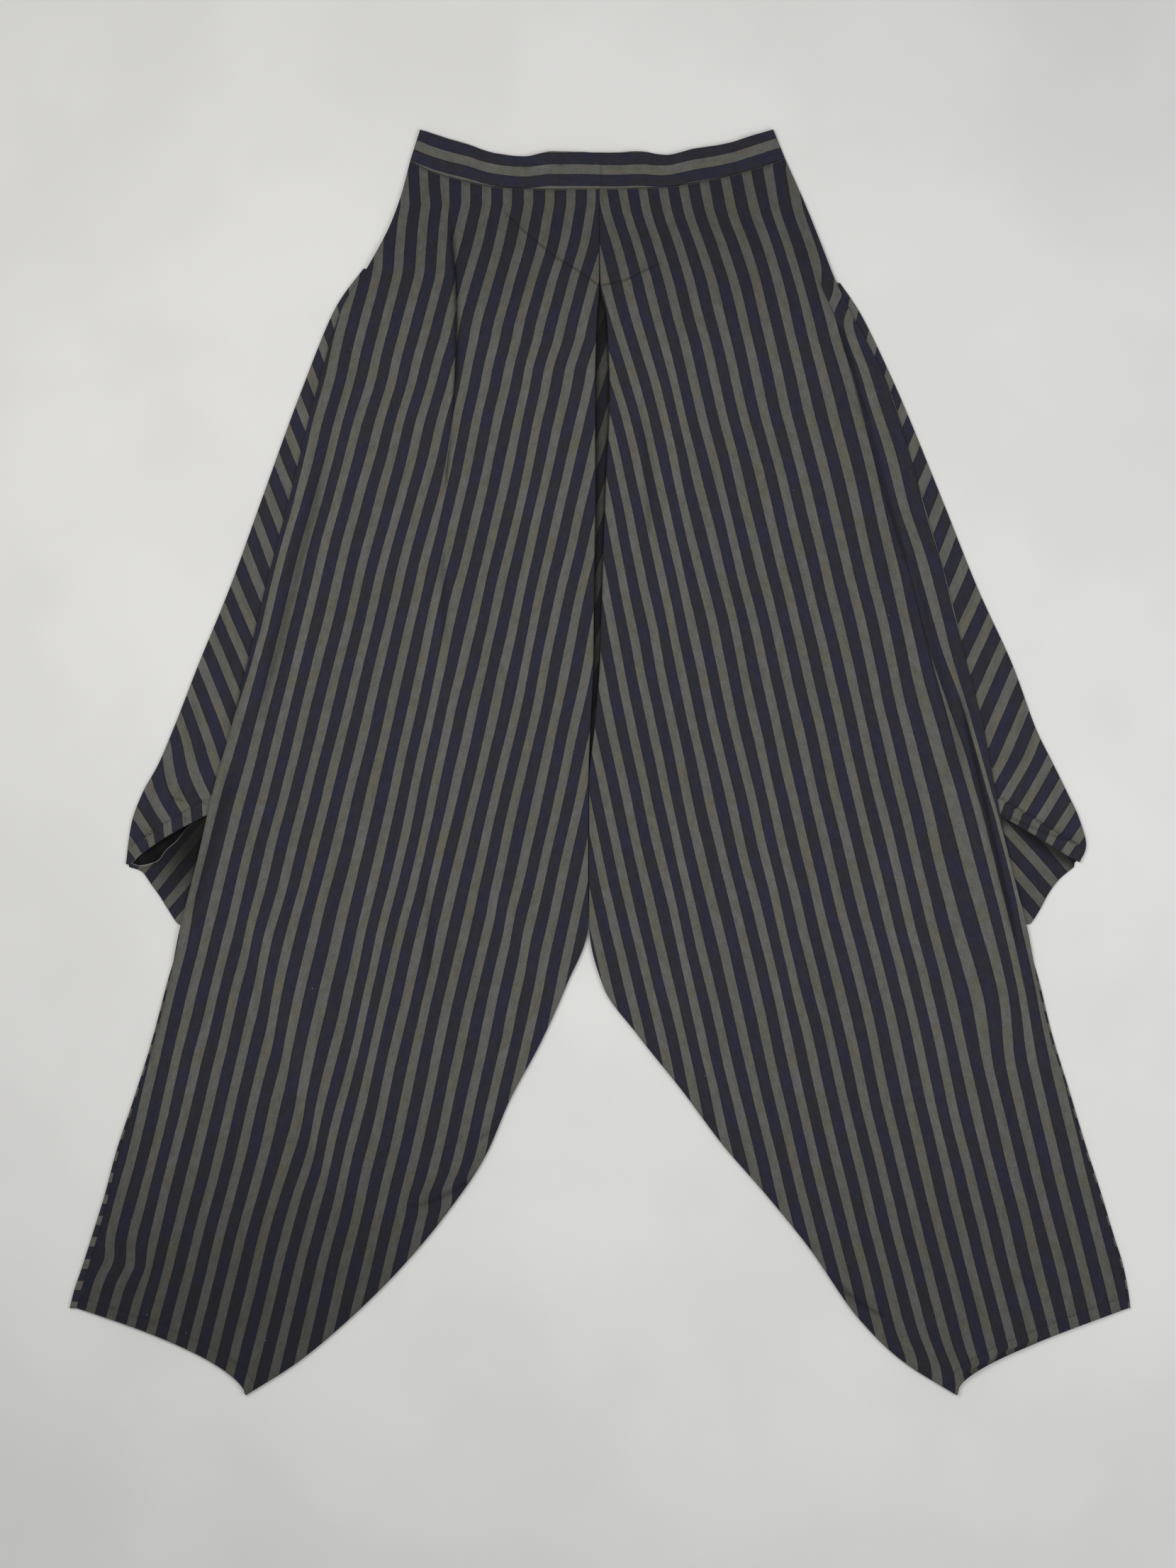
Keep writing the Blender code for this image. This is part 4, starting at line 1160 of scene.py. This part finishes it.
def makeWingFront(name, node, side, table, creases, shadows):
    radius = layers["edgeRadius"]
    tuck, wide, turns = wingCut["tuckColumns"], wingCut["columns"], wingCut["turnColumns"]
    rollRows, insideRows = wingCut["rollRows"], wingCut["insideRows"]
    bottom = np.array([(table[-1].xIn, table[-1].yIn), (table[-1].xOut, table[-1].yOut)])
    direction = (bottom[1] - bottom[0]) / np.hypot(*(bottom[1] - bottom[0]))
    down = np.array([direction[1], -direction[0]])
    down = down if down[1] < 0 else -down

    def place(i, j):
        rolled = np.clip(rollRows + insideRows - j, 0, None)
        t = 1 - np.clip((j - rollRows - insideRows) / wingCut["rows"], 0, 1)
        row = readTable(table, t)
        tucked = np.clip(1 - i / tuck, 0, 1)
        u = np.clip((i - tuck) / wide, 0, 1)
        angle = math.pi * np.clip((i - tuck - wide) / turns, 0, 1)
        x = blendTo(row.xIn, row.xOut, u) - side * layers["wingTuck"] * tucked
        y = blendTo(row.yIn, row.yOut, u)
        corner, (rise, fall) = wingCut["cornerShare"][side], wingCut["cornerRuns"]
        dip = risen(u, corner, rise) * shelf(u, corner + rise, fall)
        y += dip * wingCut["cornerDrop"][side] * risen(t, *wingCut["cornerFrom"])
        arch = np.sin(math.pi * u)
        y += wingCut["lipBow"][side] * arch * risen(t, *wingCut["lipBowFrom"])
        z = blendTo(row.zIn, row.zOut, smooth(u)) + row.crown * arch ** wingCut["crownRound"]
        toLip, _ = nearLine(bottom, x, y)
        toLip = np.abs(toLip)
        quiet = smooth(u * wingCut["edgesFade"]) * smooth((1 - u) * wingCut["edgesFade"])
        relief = creaseHeight(creases, x, y)[0] * quiet
        groove = bump(toLip - wingCut["hemBand"], wingCut["grooveWidth"])
        relief -= wingCut["hemGroove"] * groove * quiet
        z = np.maximum(z + relief, layers["secondLevel"])
        # the folded outer edge, which flattens at the mouth
        folded = radius * (1 - wingCut["edgeFlattens"] * risen(t, *wingCut["flattensFrom"]))
        x += side * folded * np.sin(angle)
        z -= folded * (1 - np.cos(angle))
        # the rolled lip and the hem turned up behind it
        roll = wingCut["rollRadius"] * shelf(u, *wingCut["rollFades"]) + wingCut["leastRoll"]
        roll = roll * (1 - wingCut["rollThins"] * smooth(angle))
        lipAngle = math.pi * np.clip(rolled / rollRows, 0, 1)
        inside = np.clip((rolled - rollRows) / insideRows, 0, 1) * wingCut["hemDepth"]
        push = roll * np.sin(lipAngle) - inside * shelf(u, *wingCut["insideFades"])
        x += down[0] * push
        y += down[1] * push
        z = np.maximum(z - roll * (1 - np.cos(lipAngle)), wingCut["lowest"])
        # stripes slant from the seam, more so near the mouth
        slant = blendTo(wingCut["slantTop"][side], wingCut["slantMouth"][side],
                        risen(-y, *wingCut["slantFrom"]))
        away = np.abs(x - row.xIn) * (1 - tucked)
        seamY = y - away / (slant + wingCut["leastSlant"])
        across = (seamY - wingCut["stripeMeets"][side]) / wingCut["stripeSpacing"][side]
        inBand = np.clip(wingCut["hemBand"] - toLip, 0, None)
        turnEnds, turnRun = wingCut["bandTurnEnds"]
        across += wingCut["bandTurn"][side] * inBand * smooth((turnEnds - u) / turnRun)
        before, run = wingCut["jogFade"]
        across += wingCut["bandJog"][side] * shelf(toLip, wingCut["hemBand"] - before, run)
        # painted light and shade: raised places are painted paler and hollows darker
        lighter = frontCut["relief"] * np.clip(relief, *wingCut["reliefRange"])
        tone = (1 + lighter) * shadowTone(shadows, x, y)
        # painted highlight along the left mouth's rolled lip
        rim = (np.sin(lipAngle) * risen(u, *wingCut["rimFrom"])
               * shelf(u, *wingCut["rimTo"]))
        tone = blendTo(tone, wingCut["rimTone"], rim * (side < 0))
        shows = (wingCut["bandLine"][side] * shelf(toLip, *wingCut["lineFade"])
                 * smooth((1 - u) * wingCut["lineEnds"]))
        return (x, y, z, across, away / layers["stripeRepeat"], tone,
                toLip - wingCut["hemBand"], shows)

    return clothPiece(name, tuck + wide + turns, wingCut["rows"] + rollRows + insideRows,
                      place, node)


wingFrontLeft = makeWingFront("wingFrontLeft", "wing_front_left", leftSide, wingLeftRows,
                              creasesWingLeft, shadowsWingLeft)
wingFrontRight = makeWingFront("wingFrontRight", "wing_front_right", rightSide, wingRightRows,
                               creasesWingRight, shadowsWingRight)

Reach = namedtuple("Reach", "y xOut")

wingBackLeftReach = [
    Reach(416.5, -199.8), Reach(387.3, -220.5), Reach(309.3, -253.0), Reach(225.3, -283.5),
    Reach(147.3, -311.8), Reach(81.3, -338.8), Reach(33.3, -357.4), Reach(-20.7, -382.5),
    Reach(-52.0, -394.6), Reach(-76.0, -401.0), Reach(-84.0, -399.2), Reach(-89.0, -392.0),
    Reach(-104.0, -378.0),
    Reach(-119.0, -368.0), Reach(-135.0, -357.0),
]

wingBackRightReach = [
    Reach(404.5, 202.6), Reach(381.3, 217.0), Reach(318.3, 248.4), Reach(225.3, 286.6),
    Reach(147.3, 317.8), Reach(81.3, 347.8), Reach(27.3, 367.6), Reach(-20.7, 390.5),
    Reach(-48.0, 403.6), Reach(-74.0, 410.4), Reach(-87.0, 402.0), Reach(-103.0, 384.0),
    Reach(-119.0, 374.0), Reach(-135.0, 362.5),
]

wingBackCut = {"columns": 10, "rows": 90, "edge": 2.2, "seamGap": 0.3, "corner": -84,
               "slant": 0.66, "pouchShade": 0.97, "cornerReach": 9, "cornerKeeps": 0.9,
               "pouchTop": (-20, 40), "pouchBottom": (-140, 40)}


def makeWingBack(name, node, side, reach, front):
    def place(i, j):
        y = blendTo(reach[-1].y, reach[0].y, j / wingBackCut["rows"])
        t = np.linspace(0, 1, 800)
        seam = readTable(front, t)
        xIn = np.interp(-y, -seam.yOut, seam.xOut) + side * wingBackCut["seamGap"]
        xOut = readTable(reach, y, "y").xOut
        atCorner = bump(y - wingBackCut["corner"], wingBackCut["cornerReach"]) * (side < 0)
        edge = wingBackCut["edge"] * (1 - wingBackCut["cornerKeeps"] * atCorner)
        inset = np.minimum(edge, np.abs(xOut - xIn) / 2)
        x = blendTo(xIn, xOut - side * inset, i / wingBackCut["columns"])
        seamY = y - np.abs(x - xIn) / wingBackCut["slant"]
        across = (seamY - wingCut["stripeMeets"][side]) / wingCut["stripeSpacing"][side]
        # painted shade: the wing backs are painted almost black inside the pouch
        inPouch = risen(-y, *wingBackCut["pouchTop"]) * risen(y, *wingBackCut["pouchBottom"])
        return (x, y, backCut["level"], across, (xIn - x) / layers["stripeRepeat"],
                1 - wingBackCut["pouchShade"] * inPouch)

    return clothPiece(name, wingBackCut["columns"], wingBackCut["rows"], place, node,
                      backCut["wall"])


wingBackLeft = makeWingBack("wingBackLeft", "wing_back_left", leftSide, wingBackLeftReach,
                            frontLeftRows)
wingBackRight = makeWingBack("wingBackRight", "wing_back_right", rightSide, wingBackRightReach,
                             frontRightRows)

# The pocket's lower layer: its back lip (in) and its folded lower edge (out), corner first
LowerRow = namedtuple("LowerRow", "xIn yIn xOut yOut")

lowerLeftRows = [
    LowerRow(-399.3, -83.8, -398.4, -87.6),
    LowerRow(-389.1, -87.0, -387.9, -91.2),
    LowerRow(-374.1, -83.1, -378.6, -103.2),
    LowerRow(-366.3, -73.5, -372.3, -111.9),
    LowerRow(-357.9, -66.3, -365.7, -122.4),
    LowerRow(-347.1, -53.1, -355.5, -136.2),
    LowerRow(-329.0, -45.0, -349.5, -134.4),
]

lowerRightRows = [
    LowerRow(401.8, -82.6, 400.9, -87.6),
    LowerRow(387.9, -74.1, 387.9, -98.4),
    LowerRow(372.9, -65.1, 378.3, -111.3),
    LowerRow(358.5, -54.9, 371.7, -123.6),
    LowerRow(345.3, -44.7, 362.1, -136.2),
    LowerRow(329.7, -43.0, 355.0, -134.4),
]

lowerCut = {
    "columns": 30,
    "turnColumns": 5,
    "rows": 44,
    "closerAtLip": 1.6,
    "edgeRadius": 0.63,
    "lipRise": {leftSide: 2.6, rightSide: 0.2},
    "lipWidth": 5,
    "cornerRows": 12,
    "cornerLevel": 1.5,
    # a stripe's middle and the way across the stripes
    "stripePoint": {leftSide: (-368.7, -95.7), rightSide: (361.8, -76.2)},
    "stripeAcross": {leftSide: (0.766, -0.643), rightSide: (0.755, 0.656)},
    "stripeSpacing": {leftSide: 17.4, rightSide: 18.6},
    # painted shade: how light each is painted, how dark the mouth's shadow, and where the fronts'
    # shade lies
    "tone": {leftSide: 0.92, rightSide: 0.88},
    "mouthDark": {leftSide: 0.85, rightSide: 0.74},
    "shadedAt": {leftSide: (-331, -56), rightSide: (351, -118)},
    "shadedReach": (20, 60),
    "rimTone": 2.1,
    "rimWidth": 1.2,
    "rimRows": (30, 10),
    "mouthReach": (3, 13),
    "legShadow": 0.8,          # the painted shadow by the right leg: how dark, how wide, how long
    "spotReach": 9,
    "spotSquash": 0.5,
}


def lowerTone(side, x, y, fromLip, j):
    # Painted shade under the fronts, below the mouth's lip and by the right leg
    px, py = lowerCut["shadedAt"][side]
    tone, dark = lowerCut["tone"][side], lowerCut["mouthDark"][side]
    if side < 0:
        tone = tone - dark * shelf(np.hypot(x - px, y - py), *lowerCut["shadedReach"])
        # painted highlight along the left back lip's edge
        rim = bump(fromLip, lowerCut["rimWidth"]) * shelf(j, *lowerCut["rimRows"])
        return blendTo(tone, lowerCut["rimTone"], rim)
    tone = tone - dark * shelf(fromLip, *lowerCut["mouthReach"])
    fromSpot = np.hypot(x - px, (y - py) * lowerCut["spotSquash"])
    return tone * (1 - lowerCut["legShadow"] * bump(fromSpot, lowerCut["spotReach"]))


def makeLower(name, node, side, table):
    turns, radius = lowerCut["turnColumns"], lowerCut["edgeRadius"]

    def place(i, j):
        row = readTable(table, j / lowerCut["rows"])
        u = np.clip(i / lowerCut["columns"], 0, 1) ** lowerCut["closerAtLip"]
        angle = math.pi * np.clip((i - lowerCut["columns"]) / turns, 0, 1)
        x, y = blendTo(row.xIn, row.xOut, u), blendTo(row.yIn, row.yOut, u)
        depth = np.hypot(row.xOut - row.xIn, row.yOut - row.yIn)
        fromCorner = smooth(j / lowerCut["cornerRows"])
        lip = lowerCut["lipRise"][side] * bump(u * depth, lowerCut["lipWidth"]) * fromCorner
        z = blendTo(lowerCut["cornerLevel"], layers["secondLevel"], fromCorner) + lip
        outX, outY = (row.xOut - row.xIn) / depth, (row.yOut - row.yIn) / depth
        x += outX * radius * np.sin(angle)
        y += outY * radius * np.sin(angle)
        z -= radius * (1 - np.cos(angle))
        px, py = lowerCut["stripePoint"][side]
        nx, ny = lowerCut["stripeAcross"][side]
        spacing = lowerCut["stripeSpacing"][side]
        across = ((x - px) * nx + (y - py) * ny) / spacing
        along = ((x - px) * -ny + (y - py) * nx) / layers["stripeRepeat"]
        return x, y, z, across, along, lowerTone(side, x, y, u * depth, j)

    return clothPiece(name, lowerCut["columns"] + turns, lowerCut["rows"], place, node)


lowerLeft = makeLower("wingLowerLeft", "wing_lower_left", leftSide, lowerLeftRows)
lowerRight = makeLower("wingLowerRight", "wing_lower_right", rightSide, lowerRightRows)

# The waistband
bandCut = {
    "columns": 150,
    "rows": 16,
    "topRows": 5,
    "backRows": 4,
    "wall": 0.5,
    "topRadius": 0.45,
    "backShare": 0.7,          # how far down behind its front the turned top goes
    "crown": 4.5,
    "endLevel": 2.2,
    "endRun": 14.0,
    "stripeHeight": 0.52,      # the olive stripe's middle as a share of the band's height
    "gathers": 0.35,
    "gatherDark": 0.06,
    "gatherWaves": (0.21, 0.47),    # the large and the small ones, in radians a millimetre
    "gatherDrift": (1.3, 0.05),
    "smallGathers": 0.6,
    "gatherFade": 20,
    "gatherFoot": 0.3,         # what is left of them at the seam
    "turnedDark": 0.4,
    "joinAt": 0.9,
    "joinLine": 0.4,
    "backDrop": 0.8,
    "backShrink": 0.995,
}


def makeBandFront():
    radius = bandCut["topRadius"]

    def place(i, j):
        row = readTable(waistbandPoints, i / bandCut["columns"])
        v = np.clip(j / bandCut["rows"], 0, 1)
        angle = math.pi * np.clip((j - bandCut["rows"]) / bandCut["topRows"], 0, 1)
        down = np.clip((j - bandCut["rows"] - bandCut["topRows"]) / bandCut["backRows"], 0, 1)
        height = np.hypot(row.xTop - row.xBottom, row.yTop - row.yBottom)
        share = 1 - (radius + bandCut["wall"] / 2) / height
        up = np.where(down > 0, share * (1 - bandCut["backShare"] * down), v * share)
        x = blendTo(row.xBottom, row.xTop, up)
        y = blendTo(row.yBottom, row.yTop, up) + radius * np.sin(angle)
        toEnd = np.minimum(x - waistbandPoints[0].xBottom, waistbandPoints[-1].xBottom - x)
        z = blendTo(bandCut["crown"], bandCut["endLevel"], shelf(toEnd, 1, bandCut["endRun"]))
        (large, small), (swing, drift) = bandCut["gatherWaves"], bandCut["gatherDrift"]
        waves = (np.sin(x * large + swing * np.sin(x * drift))
                 + bandCut["smallGathers"] * np.sin(x * small + 2))
        inside = smooth(toEnd / bandCut["gatherFade"])
        z = z + bandCut["gathers"] * waves * inside * blendTo(bandCut["gatherFoot"], 1.0, up)
        z = z - radius * (1 - np.cos(angle))
        middle = bandCut["stripeHeight"] * height
        behind = share * height * (1 + bandCut["backShare"] * down)
        lengthUp = np.where(down > 0, behind, up * height + radius * angle)
        across = (lengthUp - middle) / layers["stripeRepeat"]
        # painted shade in the gathers' hollows and where the top edge turns over
        inGather = bump(waves + 1.2, 0.8) * inside
        tone = 1 - bandCut["turnedDark"] * smooth(angle) - bandCut["gatherDark"] * inGather
        return (x, y, z, across, x / layers["stripeRepeat"], tone,
                x - bandCut["joinAt"], bandCut["joinLine"])

    return clothPiece("waistbandFront", bandCut["columns"],
                      bandCut["rows"] + bandCut["topRows"] + bandCut["backRows"], place,
                      "waistband_front", bandCut["wall"])


def makeBandBack():
    def place(i, j):
        row = readTable(waistbandPoints, i / bandCut["columns"])
        v = j / bandCut["rows"]
        x = blendTo(row.xBottom, row.xTop, v) * bandCut["backShrink"]
        y = blendTo(row.yBottom, row.yTop - bandCut["backDrop"], v)
        height = row.yTop - row.yBottom
        across = (v - bandCut["stripeHeight"]) * height / layers["stripeRepeat"]
        return x, y, backCut["level"], across, x / layers["stripeRepeat"], backCut["tone"]

    return clothPiece("waistbandBack", bandCut["columns"], bandCut["rows"], place,
                      "waistband_back", backCut["wall"])


bandFront = makeBandFront()
bandBack = makeBandBack()

# Sewing and lint, laid on the finished cloth
sewing = {
    "stitchLength": 2.1,
    "stitchStep": 3.0,
    "bandStitchLength": 2.7,
    "bandStitchStep": 2.8,
    "bandInset": 0.75,
    "threadRadius": 0.2,
    "threadFlat": 0.8,
    "longest": 1.6,           # a stitch longer than this many lengths would cross a fold
    "darkThread": srgb(48, 48, 51),
    "paleThread": srgb(92, 89, 86),
    "hemInset": 10.4,
}
lintLook = {"count": 60, "colour": srgb(178, 176, 170), "seed": 11, "acrossRange": (-430, 430),
            "lengthRange": (-500, 480), "fibreLengths": (0.4, 1.1), "fibreRadii": (0.12, 0.3)}
bpy.context.view_layer.update()
finished = bpy.context.evaluated_depsgraph_get()


def threadMaterial(name, colour):
    material, shader, start = newMaterial(name, 0.8)
    twistsPerMetre, darkShare = 900.0, 0.7
    shade = start.node("ShaderNodeTexCoord").other("Object").noise(twistsPerMetre).ramp(0.3, 0.7)
    darker = [value * darkShare for value in colour[:3]] + [1.0]
    material.node_tree.links.new(shade.tint(darker, colour).socket, shader.inputs["Base Color"])
    return material


def surfaceUnder(solid, x, y):
    # The point on top of a piece at a place, if the cloth there faces up
    hit, spot, normal, _ = solid.ray_cast(Vector((x * mm, y * mm, 0.1)), Vector((0, 0, -1)))
    return spot if hit and normal.z > 0.5 else None


def layThread(bm, first, last, radius):
    # One stitch or lint fibre between two points on the cloth, half sunk in it
    along = last - first
    turn = along.to_track_quat("X", "Z").to_matrix().to_4x4()
    size = Matrix.Diagonal((along.length / 2, radius, radius * sewing["threadFlat"], 1))
    bmesh.ops.create_uvsphere(bm, u_segments=6, v_segments=5, radius=1.0,
                              matrix=Matrix.Translation((first + last) / 2) @ turn @ size)


def stitchAlong(bm, piece, points, length=sewing["stitchLength"], step=sewing["stitchStep"]):
    solid = piece.evaluated_get(finished)
    points = np.array(points, float)
    run = np.concatenate(([0], np.cumsum(np.hypot(*np.diff(points, axis=0).T))))
    for place in np.arange(step, run[-1] - step / 2, step):
        ends = [surfaceUnder(solid, np.interp(place + half, run, points[:, 0]),
                             np.interp(place + half, run, points[:, 1]))
                for half in (-length / 2, length / 2)]
        longest = sewing["longest"] * length * mm
        if ends[0] and ends[1] and (ends[1] - ends[0]).length < longest:
            layThread(bm, ends[0], ends[1], sewing["threadRadius"] * mm)


def threadPiece(name, bm, material):
    for face in bm.faces:
        face.smooth = True
    mesh = bpy.data.meshes.new(name)
    bm.to_mesh(mesh)
    bm.free()
    mesh.materials.append(material)
    piece = bpy.data.objects.new(name, mesh)
    bpy.context.scene.collection.objects.link(piece)
    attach(piece, "root")
    print("made", name)


def insetLine(points, inset):
    # The same line moved up into the cloth
    points = np.array(points, float)
    dx, dy = np.gradient(points[:, 0]), np.gradient(points[:, 1])
    length = np.hypot(dx, dy) * np.sign(dx)
    return np.stack((points[:, 0] - dy / length * inset, points[:, 1] + dx / length * inset), 1)


stitches = bmesh.new()
for piece, table, side in ((frontLeft, frontLeftRows, leftSide),
                           (frontRight, frontRightRows, rightSide)):
    stitchAlong(stitches, piece, insetLine(hemLine(table, side), sewing["hemInset"]))
for piece, table in ((wingFrontLeft, wingLeftRows), (wingFrontRight, wingRightRows)):
    lip = [(table[-1].xIn, table[-1].yIn), (table[-1].xOut, table[-1].yOut)]
    stitchAlong(stitches, piece, insetLine(lip, wingCut["hemBand"]))
stitchAlong(stitches, frontLeft, [(-3.6, 483), (-3.7, 440), (-3.0, 404)])
stitchAlong(stitches, frontRight, [(2.2, 483), (2.2, 470)])
threadPiece("seamStitches", stitches, threadMaterial("darkThread", sewing["darkThread"]))

bandLine = bmesh.new()
for piece, ends in ((frontLeft, (-159.5, -1.5)), (frontRight, (1.0, 155.0))):
    at = np.linspace(*ends, 60)
    seam = np.stack((at, bandSeam(at) - sewing["bandInset"]), 1)
    stitchAlong(bandLine, piece, seam, sewing["bandStitchLength"], sewing["bandStitchStep"])
threadPiece("waistbandStitches", bandLine, threadMaterial("paleThread", sewing["paleThread"]))

lint = bmesh.new()
chance = np.random.default_rng(lintLook["seed"])
for _ in range(lintLook["count"]):
    piece = (frontLeft, frontRight)[chance.integers(2)]
    x, y = chance.uniform(*lintLook["acrossRange"]), chance.uniform(*lintLook["lengthRange"])
    turn, length = chance.uniform(0, math.pi), chance.uniform(*lintLook["fibreLengths"])
    spots = [surfaceUnder(piece.evaluated_get(finished), x + half * math.cos(turn),
                          y + half * math.sin(turn)) for half in (-length / 2, length / 2)]
    if spots[0] and spots[1]:
        layThread(lint, spots[0], spots[1], chance.uniform(*lintLook["fibreRadii"]) * mm)
threadPiece("lint", lint, threadMaterial("paleLint", lintLook["colour"]))

# Floor, light and camera
room = {
    "floorColour": srgb(226, 225, 222),
    "floorPatches": srgb(221, 220, 217),
    "floorSize": 3.0,
    "floorDrop": 0.0002,
    "patchScale": 6.0,
    "patchDetail": 3.0,
    "photoHeight": 1.3272,    # what the camera sees of the floor, in metres, from top to bottom
    "aim": (-0.0102, -0.0183),
    "cameraHeight": 2.2,
    "sensor": 36.0,
    "skyColour": (0.95, 0.97, 1.0, 1.0),
    "skyStrength": 0.30,
}
Light = namedtuple("Light", "place target size power colour")

lights = {
    "keyLight": Light((-0.45, 0.34, 1.35), (0.05, -0.05, 0), 0.8, 11, (1.0, 0.99, 0.97)),
    "fillLight": Light((0.75, -0.2, 1.25), (0.15, -0.05, 0), 0.9, 8, (0.97, 0.98, 1.0)),
}

floorMesh = bmesh.new()
bmesh.ops.create_grid(floorMesh, x_segments=2, y_segments=2, size=room["floorSize"])
mesh = bpy.data.meshes.new("floor")
floorMesh.to_mesh(mesh)
floorMesh.free()
floor = bpy.data.objects.new("floor", mesh)
floor.location = (0, 0, -room["floorDrop"])
bpy.context.scene.collection.objects.link(floor)
floorMaterial, floorShader, floorStart = newMaterial("paleFloor", 0.9)
floorPlace = floorStart.node("ShaderNodeTexCoord").other("Object")
patches = floorPlace.noise(room["patchScale"], room["patchDetail"])
floorColour = patches.ramp(0.3, 0.7).tint(room["floorColour"], room["floorPatches"])
floorMaterial.node_tree.links.new(floorColour.socket, floorShader.inputs["Base Color"])
mesh.materials.append(floorMaterial)


def areaLight(name, look):
    light = bpy.data.lights.new(name, "AREA")
    light.shape = "RECTANGLE"
    light.size = light.size_y = look.size
    light.energy = look.power
    light.color = look.colour
    lamp = bpy.data.objects.new(name, light)
    lamp.location = look.place
    towards = Vector(look.target) - Vector(look.place)
    lamp.rotation_euler = towards.to_track_quat("-Z", "Y").to_euler()
    bpy.context.scene.collection.objects.link(lamp)


for name, look in lights.items():
    areaLight(name, look)
world = bpy.data.worlds.new("softRoom")
world.use_nodes = True
sky = world.node_tree.nodes["Background"]
sky.inputs["Color"].default_value = room["skyColour"]
sky.inputs["Strength"].default_value = room["skyStrength"]
bpy.context.scene.world = world
bpy.context.scene.view_settings.view_transform = "Standard"
bpy.context.scene.view_settings.look = "None"

camera = bpy.data.cameras.new("camera")
camera.sensor_width = room["sensor"]
camera.lens = room["sensor"] * room["cameraHeight"] / room["photoHeight"]
eye = bpy.data.objects.new("camera", camera)
eye.location = (*room["aim"], room["cameraHeight"])
bpy.context.scene.collection.objects.link(eye)
bpy.context.scene.camera = eye
print("room set up")
